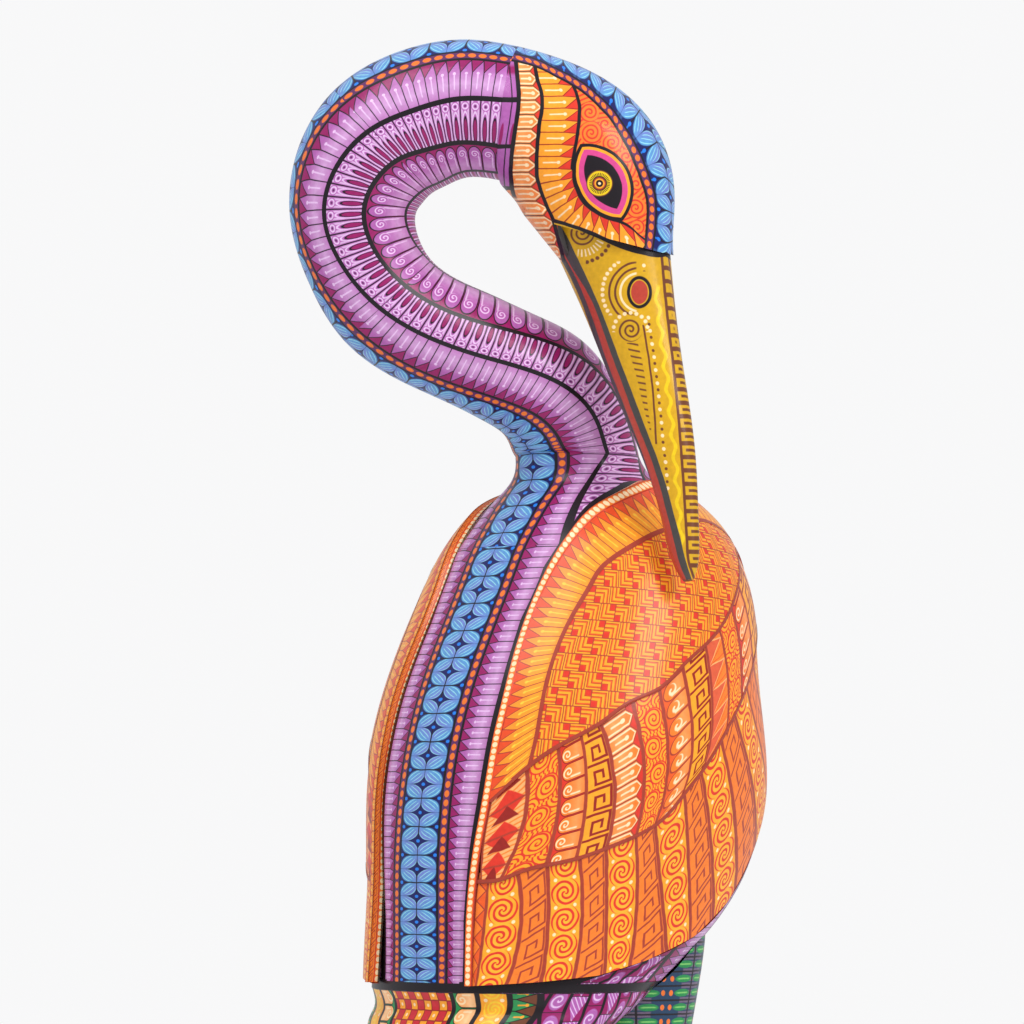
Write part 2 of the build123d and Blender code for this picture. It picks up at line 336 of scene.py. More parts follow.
def reach(x, y, cx=0.0, cy=0.0, rx=1.0, ry=1.0):
    """Distance from a point, in units of the two radii."""
    a = (x - cx) / rx
    b = (y - cy) / ry
    return root(a * a + b * b)


def bearing(x, y):
    """The angle round the origin, in turns."""
    return calc("ARCTAN2", y, x) / (2 * pi)


def curl(x, y, gap, arms=1, start=0.0):
    """Distance from the line of a spiral whose turns are this far apart, in turns."""
    turns = root(x * x + y * y) / gap - bearing(x, y) * arms + start
    return abs(fract(turns) - 0.5)


def odd(number):
    """1 for odd whole numbers, 0 for even ones."""
    return calc("PINGPONG", number, 1.0)


def choose(share, first, second):
    """The first number where share is 0, the second where it is 1."""
    return first + (second - first) * share


def boxes(x, y, corners, half):
    """How far a point is from a path of upright and level bars."""
    found = None
    for (x0, y0), (x1, y1) in zip(corners, corners[1:]):
        across = abs(x - (x0 + x1) / 2) - (abs(x1 - x0) / 2 + half)
        up = abs(y - (y0 + y1) / 2) - (abs(y1 - y0) / 2 + half)
        bar = most(across, up)
        found = bar if found is None else least(found, bar)
    return found


def profile(value, points):
    """A smooth curve through (position, result) pairs."""
    at, result = zip(*points)
    low, high = min(at), max(at)
    bottom, top = min(result), max(result)
    node = value.tree.nodes.new("ShaderNodeFloatCurve")
    curve = node.mapping.curves[0]
    curve.points[0].location = (0, (points[0][1] - bottom) / (top - bottom))
    curve.points[-1].location = (1, (points[-1][1] - bottom) / (top - bottom))
    for position, found in points[1:-1]:
        curve.points.new((position - low) / (high - low), (found - bottom) / (top - bottom))
    node.mapping.update()
    share = calc("MULTIPLY_ADD", value, 1 / (high - low), -low / (high - low), clamp=True)
    value.tree.links.new(share.socket, node.inputs["Value"])
    return Value(value.tree, node.outputs["Value"]) * (top - bottom) + bottom


def rgb(red, green, blue):
    """A colour from screen values, as Blender wants it."""
    return tuple((c / 255 / 12.92 if c < 10.3 else ((c / 255 + 0.055) / 1.055) ** 2.4)
                 for c in (red, green, blue)) + (1.0,)


MIX_FIRST, MIX_SECOND, MIX_RESULT = 6, 7, 2      # a Mix node's sockets for colours


class Coat:
    """Layers of paint: each put() lays a colour where its mask is 1."""

    def __init__(self, tree, ground):
        self.tree = tree
        self.colour = ground

    def put(self, mask, colour):
        layers = {"Factor": mask.socket, MIX_FIRST: self.colour, MIX_SECOND: colour}
        self.colour = add_node(self.tree, "Mix", layers, data_type="RGBA")[MIX_RESULT]

    def lay(self, mask, recipe, *place):
        """Lays a whole pattern where the mask is 1."""
        pattern = Coat(self.tree, self.colour)
        recipe(pattern, *place)
        self.put(mask, pattern.colour)


NAVY, LIGHT_BLUE, PERIWINKLE = rgb(18, 24, 95), rgb(92, 156, 212), rgb(118, 130, 208)
PALE_CYAN, BRIGHT_BLUE = rgb(155, 225, 235), rgb(35, 130, 235)
DARK_PURPLE, DOT_ORANGE = rgb(95, 45, 95), rgb(240, 120, 45)
MAGENTA, LILAC, PALE_LILAC = rgb(150, 24, 98), rgb(177, 97, 173), rgb(230, 192, 234)
BLACK, CREAM = rgb(24, 17, 24), rgb(255, 226, 180)
ORANGE, DEEP_ORANGE = rgb(247, 127, 43), rgb(237, 94, 38)
YELLOW_ORANGE, YELLOW = rgb(252, 165, 40), rgb(255, 200, 60)
RED, DARK_RED, DIVIDER = rgb(222, 55, 38), rgb(150, 35, 28), rgb(165, 62, 45)
PEACH, EYE_PINK = rgb(253, 178, 110), rgb(215, 70, 140)
MUSTARD, BROWN, BRIGHT_YELLOW = rgb(214, 164, 26), rgb(112, 62, 38), rgb(238, 200, 25)
DARK_GREY, MOUTH_RED, GREEN = rgb(72, 68, 66), rgb(185, 65, 50), rgb(35, 140, 75)
LEG_BLUE, GREY_PURPLE = rgb(35, 65, 95), rgb(110, 95, 120)


def new_material(name):
    """A material, its node tree and its shader."""
    material = bpy.data.materials.new(name)
    material.use_nodes = True
    return material, material.node_tree, material.node_tree.nodes["Principled BSDF"]


VARNISH = {"Roughness": 0.38, "Specular IOR Level": 0.2, "Coat Weight": 0.22, "Coat Roughness": 0.16}


def painted(name, recipe, source="paint", wobble=0.035):
    """Hand laid paint under a satin varnish; recipe lays the pattern.

    The recipe is given (coat, u, v) on a painted shell, or (coat, x, y, z) in millimetres on a CAD node.
    wobble is how far a brush strays, in the same units."""
    material, tree, shader = new_material(name)
    place = add_node(tree, "TexCoord", {})["Object"]
    if source == "paint":
        start = add_node(tree, "UVMap", {}, uv_map="paint")["UV"]
    else:
        start = add_node(tree, "VectorMath", {0: place, "Scale": 1 / MM}, operation="SCALE")[0]
    shake = add_node(tree, "TexNoise", {"Scale": 140, "Detail": 1, "Vector": place})["Color"]
    drift = {0: shake, 1: (2 * wobble,) * 3, 2: (-wobble,) * 3}
    stray = add_node(tree, "VectorMath", drift, operation="MULTIPLY_ADD")[0]
    moved = add_node(tree, "VectorMath", {0: start, 1: stray})[0]
    split = add_node(tree, "SeparateXYZ", {0: moved})
    coat = Coat(tree, None)
    recipe(coat, *[Value(tree, axis) for axis in split][:2 if source == "paint" else 3])

    # thin and thick paint, and the relief of the brush's bristles
    streaks = add_node(tree, "TexNoise", {"Scale": 420, "Detail": 3, "Vector": place})["Fac"]
    shade = add_node(tree, "MapRange", {"To Min": 0.78, "To Max": 1.18, "Value": streaks})[0]
    uneven = add_node(tree, "VectorMath", {0: coat.colour, "Scale": shade}, operation="SCALE")[0]
    relief = add_node(tree, "Bump", {"Strength": 0.12, "Distance": 0.0004, "Height": streaks})[0]
    feed(tree, shader, {"Base Color": uneven, "Normal": relief, **VARNISH})
    return material


# ---- painted patterns ----
# u counts cells along a strip and v runs from 0 to 1 across it, unless a pattern says otherwise.

def plain(colour):
    """One colour all over, mixed with itself so that it comes from a node as every pattern does."""
    def lay(coat, u, v):
        coat.colour = colour
        coat.put(v, colour)
    return lay


def flowers(coat, u, v):
    """Four petalled flowers on navy; v is -1 to 1 across the band."""
    coat.colour = NAVY
    x = abs(v)
    y = abs(fract(u) - 0.5) * 2
    middle = (x + y) * 0.5
    aside = (x - y) * 0.5
    width = middle * (1 - middle) * 1.2
    petal = below(abs(aside) - width, -0.02, 0.04)
    coat.put(petal, LIGHT_BLUE)
    coat.put(petal * below(aside, 0, 0.3) * 0.8, PERIWINKLE)
    veins = stroke(fract(aside / most(width, 0.05) * 1.9 + 0.2) - 0.5, 0.1, 0.16)
    coat.put(petal * veins * below(abs(middle - 0.5), 0.27, 0.08), PALE_CYAN)
    coat.put(most(stroke(x, 0.022, 0.02), stroke(y, 0.045, 0.03)) * below(middle, 0.75, 0.05), BLACK)
    blue_dots = least(reach(x, y, 0, 1, 0.1, 0.12), reach(x, y, 0.92, 0, 0.09, 0.12))
    coat.put(below(blue_dots, 1, 0.3), BRIGHT_BLUE)


def dots(coat, u, v):
    """Round orange dots on dark purple."""
    coat.colour = DARK_PURPLE
    coat.put(below(reach(fract(u), v, 0.5, 0.5, 0.37, 0.36), 1, 0.2), DOT_ORANGE)


def beads(coat, u, v):
    """Cream beads between a red line and a deep orange one."""
    coat.colour = ORANGE
    coat.put(below(v, 0.1), DEEP_ORANGE)
    coat.put(stroke(v - 0.93, 0.07), RED)
    coat.put(below(reach(fract(u), v, 0.5, 0.46, 0.4, 0.33), 1, 0.2), CREAM)


def feathers(body, light, gap, line, mark, tip, tall, slant=0.5, outline=None):
    """Pointed feathers side by side, root at v = 0, each with a painted line and a dot."""
    def lay(coat, u, v):
        x = fract(u)
        narrowing = most(v - tip, 0) / (1 - tip)
        inset = least(x - narrowing * slant, 1 - narrowing * (1 - slant) - x)
        coat.colour = gap
        feather = below(-inset, 0, 0.05)
        coat.put(feather, body)
        coat.put(feather * below(abs(v - 0.3), 0.2, 0.5) * 0.6, light)
        if outline:
            coat.put(stroke(inset - 0.15, 0.05), outline)
        coat.put(stroke(inset, 0.045, 0.05), line)
        coat.put(stroke(x - 0.5, 0.055) * below(abs(v - 0.36), 0.2, 0.04), mark)
        coat.put(below(reach(x, v, 0.5, 0.6, 0.13, 0.13 / tall), 1, 0.3), mark)
    return lay


def columns(tall):
    """Narrow lilac columns with a ringed circle at one end and a magenta drop at the other."""
    def lay(coat, u, v):
        x = fract(u) - 0.5
        coat.colour = LILAC
        coat.put(below(abs(abs(x) - 0.3), 0.08, 0.1) * 0.8, PALE_LILAC)
        drop = reach(x, v, 0, 0.72, 0.21, 0.31)
        coat.put(below(drop, 1.5, 0.1), LILAC)
        coat.put(stroke(drop - 1.45, 0.12, 0.12), PALE_LILAC)
        coat.put(below(drop, 1.12, 0.12), BLACK)
        coat.put(below(drop, 0.86, 0.12), MAGENTA)
        ring = reach(x, v, 0, 0.4 / tall + 0.02, 0.42, 0.42 / tall)
        coat.put(below(ring, 1, 0.12), LILAC)
        coat.put(stroke(ring - 0.62, 0.16, 0.15), PALE_LILAC)
        coat.put(below(ring, 0.25, 0.2), DARK_PURPLE)
        coat.put(stroke(abs(x) - 0.5, 0.06), BLACK)
    return lay


def petals(body, light, gap, line, mark, pitch, height, gap_turn, middle=0.3):
    """Round ended petals side by side, the round end at v = 0, each with a spiral."""
    def lay(coat, u, v):
        x = fract(u) - 0.5
        round_end = reach(x, v, 0, middle, 0.46, middle * 0.9)
        straight = most(abs(x) / 0.46, (middle - v) * 50 + 1)
        edge = least(round_end, straight)
        coat.colour = gap
        petal = below(edge, 1, 0.08)
        coat.put(petal, body)
        coat.put(petal * below(abs(v - 0.75), 0.1, 0.6) * 0.7, light)
        coat.put(stroke(edge - 1, 0.07, 0.06), line)
        mm_x, mm_y = x * pitch, (v - middle) * height
        spiral = stroke(curl(mm_x, mm_y, gap_turn), 0.2, 0.15)
        coat.put(spiral * below(reach(mm_x, mm_y), pitch * 0.32, 0.3), mark)
        coat.put(stroke(x - 0.28, 0.045) * below(abs(v - 0.6), 0.22, 0.05), mark)
    return lay


def fine_strokes(coat, u, v):
    """Thin lilac and magenta brush strokes."""
    coat.colour = LILAC
    x = fract(u * 2) - 0.5
    coat.put(stroke(x, 0.16, 0.2), MAGENTA)
    coat.put(stroke(fract(u * 2 + 0.3) - 0.5, 0.08, 0.12), PALE_LILAC)
    coat.put(stroke(abs(x) - 0.5, 0.07), BLACK)


TILE, TILE_SLOPE = 8.4, 0.07
NESTED = 4.1     # corners in a tile


def chevrons(coat, u, v):
    """Rows of square tiles with nested corners and a red square; u and v are in millimetres."""
    level = (v + u * TILE_SLOPE) / TILE
    row = whole(level)
    course = u / TILE + row * 0.5
    turned = odd(whole(course) + row)
    x = choose(turned, fract(course), 1 - fract(course))
    y = choose(turned, fract(level), 1 - fract(level))
    step = most(x, y)
    coat.colour = YELLOW_ORANGE
    coat.put(below(abs(fract(step * NESTED + 0.1) - 0.5), 0.2, 0.1), DEEP_ORANGE)
    coat.put(stroke(fract(step * NESTED - 0.08) - 0.5, 0.06, 0.1), DARK_RED)
    coat.put(below(step, 0.36), RED)
    seam = least(least(x, 1 - x), least(y, 1 - y))
    coat.put(below(seam, 0.03, 0.04), DIVIDER)


FLANK_ROWS, FLANK_LEAN, FLANK_STEP = 8, 0.045, 12


def flank(coat, u, v):
    """Leaning rows of striped triangles and spirals on magenta; u is in millimetres, v across the flank."""
    column = v * FLANK_ROWS - u * FLANK_LEAN
    x, row = fract(column), whole(column)
    level = u / FLANK_STEP + row * 0.37
    y = fract(level)
    coat.colour = MAGENTA
    triangle = below(abs(x - 0.5) * 1.1 - y * 0.55, 0, 0.05)
    coat.put(triangle, LILAC)
    coat.put(triangle * stroke(fract((x + y) * 4.5) - 0.5, 0.13, 0.15), PALE_LILAC)
    drop = reach(x, y, 0.5, 0.5, 0.36, 0.4)
    turned = odd(row)
    coat.put(turned, MAGENTA)
    coat.put(turned * below(drop, 1, 0.1), LILAC)
    spiral = stroke(curl((x - 0.5) * 10, (y - 0.5) * 12, 2.6), 0.16, 0.15)
    coat.put(turned * below(drop, 0.85, 0.1) * spiral, PALE_LILAC)
    coat.put(stroke(y, 0.03, 0.03), BLACK)
    coat.put(stroke(abs(x - 0.5) - 0.5, 0.09, 0.04), BLACK)


def whorls(ground, line):
    """Large spirals on alternate sides, with arcs filling the corners between them."""
    def lay(coat, u, v):
        side = odd(whole(u)) * 2 - 1
        x, y = fract(u) - 0.5, v - 0.5 - side * 0.1
        spiral = stroke(curl(x, y, 0.17), 0.19, 0.12)
        far_x, far_y = 0.5 - abs(x), y + side * 0.6
        arcs = stroke(fract(root(far_x * far_x + far_y * far_y) / 0.15) - 0.5, 0.2, 0.12)
        near = below(reach(x, y), 0.39, 0.03)
        coat.colour = ground
        coat.put(choose(near, arcs, spiral), line)
        coat.put(stroke(reach(x, y) - 0.4, 0.025, 0.03), line)
    return lay


def waves(pitch, width, line=RED):
    """A running chain of S scrolls with cream dots in the hollows."""
    def lay(coat, u, v):
        x, y = (fract(u) - 0.5) * pitch, (v - 0.5) * width
        coat.colour = YELLOW_ORANGE
        coat.put(below(abs(v - 0.5), 0.28, 0.25) * 0.35, YELLOW)
        scroll = stroke(curl(x, y, pitch / 5, arms=2, start=0.5), 0.23, 0.12)
        coat.put(scroll * below(reach(x, y), pitch * 0.53, 0.4), line)
        coat.put(below(reach(abs(x), abs(y), pitch / 2, width * 0.33, 0.85, 0.85), 1, 0.3), CREAM)
    return lay


# the corners of one hook, in cells
KEY = ((0, 0.06), (0, 0.94), (0.8, 0.94), (0.8, 0.3), (0.3, 0.3), (0.3, 0.66), (0.56, 0.66))


def key(ground, line, half, skew):
    """A running angular hook, upright or skewed."""
    def lay(coat, u, v):
        x = fract(u + v * skew)
        coat.colour = ground
        coat.put(below(least(boxes(x, v, KEY, half), boxes(x - 1, v, KEY[:2], half)), 0, 0.03), line)
    return lay


def triangles(coat, u, v):
    """Pairs of striped orange triangles on red, points inwards."""
    x, y = fract(u), abs(v - 0.5) * 2
    coat.colour = RED
    pair = below(abs(x - 0.5) * 0.9, y * 0.45, 0.04)
    coat.put(pair, PEACH)
    coat.put(pair * stroke(fract(x * 6 + v) - 0.5, 0.16, 0.2), ORANGE)
    coat.put(below(abs(x - 0.5) * 2, 1 - y * 1.3, 0.06) * below(x, 0.5, 0.04), DARK_RED)
    coat.put(stroke(fract(u + 0.5) - 0.5, 0.03), DIVIDER)


def fan(coat, u, v):
    """Orange triangles on pink, their points at alternate edges."""
    x = abs(fract(u) - 0.5) * 2
    coat.colour = rgb(225, 95, 60)
    coat.put(below(x - v, 0, 0.05), ORANGE)
    coat.put(stroke(x - v, 0.06, 0.05), PEACH)
    coat.put(stroke(x - v * 0.5, 0.03, 0.05), RED)


def slivers(coat, u, v):
    """Thin triangles along a narrow strip."""
    coat.colour = ORANGE
    slope = abs(fract(u) - 0.5) * 2 - v
    coat.put(below(slope, 0, 0.08), DEEP_ORANGE)
    coat.put(stroke(slope, 0.09, 0.06), DIVIDER)


BORDER = 0.065      # of the strip's width


def bordered(recipe):
    """The recipe with a painted line along both long edges of its strip."""
    def lay(coat, u, v):
        recipe(coat, u, (v - BORDER) / (1 - 2 * BORDER))
        coat.put(below(least(v, 1 - v), BORDER, 0.03), DIVIDER)
    return lay


# ---- materials used on the shells ----

FLOWER_PITCH = 13.8
DOT_PITCH = 4.5
FLAME_PITCH = 5.3
SCROLL_PITCH = 8.4
BEAD_PITCH = 3.2

flower_paint = painted("flower band", flowers, wobble=0.03)
dot_paint = painted("dotted line", dots)
line_paint = painted("black line", plain(BLACK))
flame_recipe = feathers(LILAC, PALE_LILAC, MAGENTA, BLACK, PALE_LILAC, tip=0.62, slant=0.8, tall=3.2)
flame_paint = painted("lilac flames", flame_recipe)
flank_paint = painted("flank", flank)
column_paint = painted("lilac columns", columns(3.6))
petal_recipe = petals(LILAC, PALE_LILAC, MAGENTA, BLACK, PALE_LILAC, SCROLL_PITCH, 20, gap_turn=1.7)
petal_paint = painted("lilac petals", petal_recipe)
stroke_paint = painted("fine strokes", fine_strokes)
bead_paint = painted("cream beads", beads)
ray_paint = painted(
    "orange rays", feathers(
        rgb(250, 148, 42), YELLOW_ORANGE, rgb(230, 78, 36), DIVIDER, YELLOW, tip=0.6, slant=0.75, tall=2.6))
chevron_paint = painted("chevron tiles", chevrons, wobble=0.16)
divider_paint = painted("red brown line", plain(DIVIDER))
triangle_paint = painted("red triangles", bordered(triangles))
whorl_paint = painted("spirals", bordered(whorls(YELLOW_ORANGE, RED)))
finger_paint = painted("round feathers", bordered(
    petals(ORANGE, PEACH, RED, DARK_RED, CREAM, 8.5, 12, gap_turn=1.9)))
key_paint = painted("angular key", bordered(key(YELLOW_ORANGE, DARK_RED, 0.055, 0.0)))
quill_paint = painted("outlined feathers", bordered(
    feathers(ORANGE, PEACH, RED, DIVIDER, CREAM, tip=0.78, tall=1.6, outline=CREAM)))
scallop_paint = painted("scallops", bordered(
    petals(ORANGE, PEACH, DEEP_ORANGE, DIVIDER, CREAM, 8.6, 12, middle=0.42, gap_turn=3.4)))
fan_paint = painted("fans", bordered(fan))
WAVE_PITCH, WAVE_WIDTH = 13, 14.5
wave_paint = painted("running scrolls", bordered(waves(WAVE_PITCH, WAVE_WIDTH)))
thin_key_paint = painted("thin key", bordered(key(ORANGE, DIVIDER, 0.04, 0.45)))
sliver_paint = painted("slivers", bordered(slivers))


# ---- neck and torso ----

def banded(skin, surface, heights, edges, paints):
    """Side by side strips between edge lines, on both sides of the back line.

    edges are angles, one array for each line; paints are (material, length of one cell, columns of
    faces, whether the pattern's root is at the far edge)."""
    inside = surface.middle(heights)
    span = np.concatenate([[0], np.cumsum(np.linalg.norm(np.diff(inside, axis=0), axis=1))])
    for low, high, (material, pitch, count, turned) in zip(edges, edges[1:], paints):
        share = np.linspace(0, 1, count)
        across = 1 - share if turned else share
        angle = low[:, None] * (1 - share) + high[:, None] * share
        for hand in (1, -1):
            grid = surface(hand * angle, heights[:, None] + 0 * angle)
            skin.add(grid, (span / pitch)[:, None], across, material, inside[:, None, :])


LINE_STRIP = (line_paint, 5, 2, False)
BAND_PAINTS = [
    (flower_paint, FLOWER_PITCH, 5, False), LINE_STRIP, (dot_paint, DOT_PITCH, 3, False), LINE_STRIP]
NECK_ROWS = [
    (flame_paint, FLAME_PITCH, 9, True), (column_paint, FLAME_PITCH, 10, False),
    (petal_paint, SCROLL_PITCH, 12, False), (stroke_paint, 2 * FLAME_PITCH, 8, False)]
HALF_LINE = 2.2     # degrees
NECK_STEP, TORSO_STEP = 1.6, 2     # lengths of the faces
WIDE_LENGTH = 60    # the band narrows over this length from the body up


def neck_piece(name, start, end):
    """One glued length of the neck, between two of its stations."""
    low, high = neck_surface.stations[start], neck_surface.stations[end]
    lengths = np.linspace(low, high, int((high - low) / NECK_STEP) + 2)
    share = np.clip(1 - lengths / WIDE_LENGTH, 0, 1)
    base = np.degrees(np.arcsin(np.array(BAND_EDGES) / NECK[0][1]))
    edges = [0 * lengths] + [a * (1 - share) + b * share for a, b in zip(NECK_BAND_EDGES, base)]
    paints = list(BAND_PAINTS)
    for k, row in enumerate(NECK_ROWS[:-1]):
        middle = spline(neck_surface.stations, [s[3][k] for s in NECK])(lengths)[:, 0]
        edges += [middle - HALF_LINE, middle + HALF_LINE]
        paints += [row, LINE_STRIP]
    edges.append(180 + 0 * lengths)
    paints.append(NECK_ROWS[-1])
    skin = Skin(name + "_paint")
    banded(skin, neck_surface, lengths, edges, paints)
    skin.make("figure", "painted_neck", name)


neck_piece("neck_lower", 0, NECK_LOWER_END)
neck_piece("neck_bend", NECK_LOWER_END, NECK_BEND_END)
neck_piece("neck_upper", NECK_BEND_END, len(NECK) - 1)

SEAM_Z, SHOULDER_Z, NECK_Z = TORSO[0][0], 545, TORSO[-1][0]

# the wing's outline and rows, as (angle from the back, height) points
WING_EDGE = [
    (23.6, 331), (21.9, 362), (21.9, 395), (22.6, 420), (23, 449), (23.7, 475), (23.5, 508), (27, 534),
    (34.5, 553), (49, 567), (80, 577), (100, 578.5), (120, 576), (137, 567), (150, 548), (155, 520)]
BEAD_EDGE = [
    (25.9, 331), (24.2, 362), (24.2, 395), (24.9, 420), (25.3, 449), (26, 475), (25.8, 508), (29.5, 532),
    (37.4, 550), (52, 563.5), (80, 572.8), (100, 574.5), (120, 571.5), (135, 562), (147, 544), (151, 520)]
wing_edge_angle = line_through([(z, a) for a, z in WING_EDGE[:10]])

WING_LINE = 5     # degrees: width of the black line beside the wing
# degrees: the edges of the breast's black lines and rows in turn
BREAST_LINES = [104, 107, 130, 132.5, 156, 158.5, 180]
SEAM_TOP = [(0, 328), (26, 330), (47, 332), (66, 335), (82, 342), (100, 353), (114, 370), (126, 402)]
FLAME_LINE = [(545, 31.5), (558, 33), (568, 38), (577.5, 48), (585, 61.5), (589, 69.5), (592, 75)]
COLUMN_LINE = [(545, 78), (570, 88), (577.5, 97), (585, 110), (592, 125)]


# the black lines at the seam: from and to which angle, whether it follows the wing, its width and lift;
# along the wings they are black paint and painted shadow under the wing's hem
SEAM_LINES_AND_SHADOWS = [(-180, 180, False, 4.2, 0.25), (20, 116, True, 6.4, 0.2), (-116, -20, True, 6.4, 0.2)]
UNDER_WING = 3.4     # the line, partly painted shadow, starts this far below the wing's edge


def seam_line_and_wing_shadow(skin):
    """The black line round the seam, and up along the wings' lower edges as a band that is partly painted
    shadow under the hem.
    """
    for first, last, shadow_under_wing, width, out in SEAM_LINES_AND_SHADOWS:
        around = np.linspace(first, last, 121)[None, :]
        # along a wing's lower edge this black band is also painted shadow cast by the hem
        low = line_through(SEAM_TOP)(abs(around)) - UNDER_WING if shadow_under_wing else SEAM_Z + 0.1 + 0 * around
        height = np.maximum(low + width * np.linspace(0, 1, 4)[:, None], SEAM_Z + 0.05)
        grid = torso_surface(around, height, out)
        skin.add(grid, height / 5, 0.5, line_paint, torso_surface.middle(height))


def torso_piece():
    """The back between the wings, the shoulders and the breast."""
    skin = Skin("torso_paint")
    for low, high in ((SEAM_Z, SHOULDER_Z), (SHOULDER_Z, NECK_Z)):
        heights = np.linspace(low, high, int((high - low) / TORSO_STEP) + 2)
        edges = [0 * heights] + [torso_surface.across(d, heights) for d in BAND_EDGES]
        if low == SEAM_Z:
            flame_end = wing_edge_angle(heights) - HALF_LINE
            edges += [flame_end, flame_end + WING_LINE] + [angle + 0 * heights for angle in BREAST_LINES]
            rows = [NECK_ROWS[0], LINE_STRIP, (flank_paint, 1, 30, False)]
            for row in NECK_ROWS[:3]:
                rows += [LINE_STRIP, row]
        else:
            flame_end, column_end = [
                spline(*zip(*line))(heights)[:, 0] for line in (FLAME_LINE, COLUMN_LINE)]
            edges += [flame_end - HALF_LINE, flame_end + HALF_LINE, column_end - HALF_LINE,
                      column_end + HALF_LINE, 180 + 0 * heights]
            rows = [NECK_ROWS[0], LINE_STRIP, NECK_ROWS[1], LINE_STRIP, NECK_ROWS[2]]
        banded(skin, torso_surface, heights, edges, BAND_PAINTS + rows)
    seam_line_and_wing_shadow(skin)
    skin.make("figure", "painted_back", "torso")


torso_piece()


# ---- wings ----

# how far each row of feathers and the shell's inner edge stand off the CAD's surface
COVERT_LEVEL, MIDDLE_LEVEL, FLIGHT_LEVEL, SHELL_DEPTH = 0.4, -0.5, -1.3, -5.5
# (angle, height) points: the chevron tiles' outer edge, the rays' outer edge, and each feather row's hem
CHEVRON_EDGE = [
    (35, 438), (36, 455), (36.2, 480), (38.4, 506), (43, 524), (49, 536), (66, 548.5), (80, 553.5),
    (97, 557.5), (110, 556), (125, 550), (135, 540)]
RAY_OUTER = [(24.9, 420), (25.2, 443)] + BEAD_EDGE[5:-1]
COVERT_HEM = [
    (24.9, 419.5), (35, 437), (42, 446), (53, 457), (62, 468), (69, 473), (78, 486), (86, 496), (94, 507),
    (104, 523), (114, 536), (125, 545), (135, 539), (147, 520), (155, 500)]
MIDDLE_HEM = [
    (24, 381), (31, 382), (37, 386), (44, 389), (52, 392), (60, 397), (68, 403), (73, 408), (81, 424),
    (86, 434), (96, 454), (105, 469), (118, 490), (130, 505), (142, 512), (155, 498)]
FLIGHT_HEM = [
    (22, 330.5), (26, 331), (47, 333), (66, 336), (82, 343), (100, 354), (114, 371), (126, 403), (136, 432),
    (148, 470), (155, 497)]
# the lines between the feather strips: angle at the top, halfway and at the bottom
MIDDLE_LINES = [
    (25, 24.3, 25.2), (34, 35.5, 31), (42, 44.5, 44), (48, 51.5, 52), (53, 59, 60), (62, 67, 68),
    (70, 74, 73), (77.5, 82, 80), (86, 90, 86), (92, 97.5, 96), (99, 105, 105), (107, 113, 116),
    (118, 124, 128), (130, 136, 140), (143, 148, 152)]
FLIGHT_LINES = [
    (24.2, 24.4, 25.9), (27.3, 27.2, 26.8), (36, 39, 37), (44, 47, 48), (53, 57, 58), (60, 64, 68),
    (68, 73, 76), (73, 80, 89), (81, 88, 98), (86, 95, 107), (94, 103, 116), (101, 111, 124),
    (110, 119, 132), (118, 127, 139), (127, 135, 145), (138, 143, 150), (148, 151, 154)]
# each strip's paint and the length of one cell
MIDDLE_PAINTS = [
    (triangle_paint, 15), (whorl_paint, 14), (finger_paint, 8.5), (key_paint, 12), (quill_paint, 8.3),
    (whorl_paint, 13), (scallop_paint, 8.6), (key_paint, 11), (fan_paint, 11), (whorl_paint, 12),
    (finger_paint, 8.5), (key_paint, 11), (quill_paint, 8.3), (whorl_paint, 13)]
FLIGHT_PAINTS = [(sliver_paint, 9)] + [(wave_paint, WAVE_PITCH), (thin_key_paint, 13)] * 8


def curve_points(points, shares):
    """Points evenly along a line of (angle, height) pairs, softened by a spline."""
    points = np.array(points, float)
    steps = np.linalg.norm(np.diff(points, axis=0), axis=1)
    knots = np.concatenate([[0], np.cumsum(steps)])
    return spline(knots, points)(np.asarray(shares) * knots[-1])


def matched(points, shares):
    """Points along a line whose n-th point belongs with the n-th point of its partner."""
    points = np.array(points, float)
    return spline(np.arange(len(points)), points)(np.asarray(shares) * (len(points) - 1))


def flip(points, hand):
    """The points as they are, or mirrored for hand -1."""
    return points * np.array([hand, 1, 1])


def wing_grid(skin, angle, height, out, u, v, material, hand):
    """A grid on the right wing, or mirrored onto the left one."""
    grid, inside = wing_surface(angle, height, out), wing_surface.middle(height)
    skin.add(flip(grid, hand), u, v, material, flip(inside, hand))


def between(first, second, share):
    """The angles and the heights of a grid that spans two lines of points."""
    grid = first[:, None] * (1 - share)[:, None] + second[:, None] * share[:, None]
    return grid[..., 0], grid[..., 1]


def wing_strip(skin, angle, height, out, share, material, pitch, hand):
    """A grid whose pattern runs along its rows; pitch is the length of one cell."""
    length = along(wing_surface(angle, height, out)).mean(axis=1, keepdims=True)
    wing_grid(skin, angle, height, out, length / pitch, share, material, hand)


def ribbon(skin, first, second, out_first, out_second, material, pitch, hand, columns=3):
    """A strip between two matched lines on the wing."""
    share = np.linspace(0, 1, columns)
    angle, height = between(first, second, share)
    out = out_first * (1 - share) + out_second * share + 0 * angle
    wing_strip(skin, angle, height, out, share, material, pitch, hand)


def feather_row(skin, lines, paints, top, bottom, out, hand, tuck):
    """Side by side strips that hang from one hem line to the next."""
    top, bottom = line_through(top), line_through(bottom)
    t = np.linspace(-tuck, 1, 60)[:, None]
    share = np.linspace(0, 1, 9)
    for left, right, (material, pitch) in zip(lines, lines[1:], paints):
        start, halfway, end = [(a * (1 - share) + b * share)[None, :] for a, b in zip(left, right)]
        angle = start * (1 - t) * (1 - 2 * t) + halfway * 4 * t * (1 - t) + end * t * (2 * t - 1)
        height = top(start) * (1 - t) + bottom(end) * t
        wing_strip(skin, angle, height, out + 0 * angle, share, material, pitch, hand)


HEM_ROWS = 220
STRETCH = np.array([1.7, 1])     # a degree round the wing is about 1.7 mm


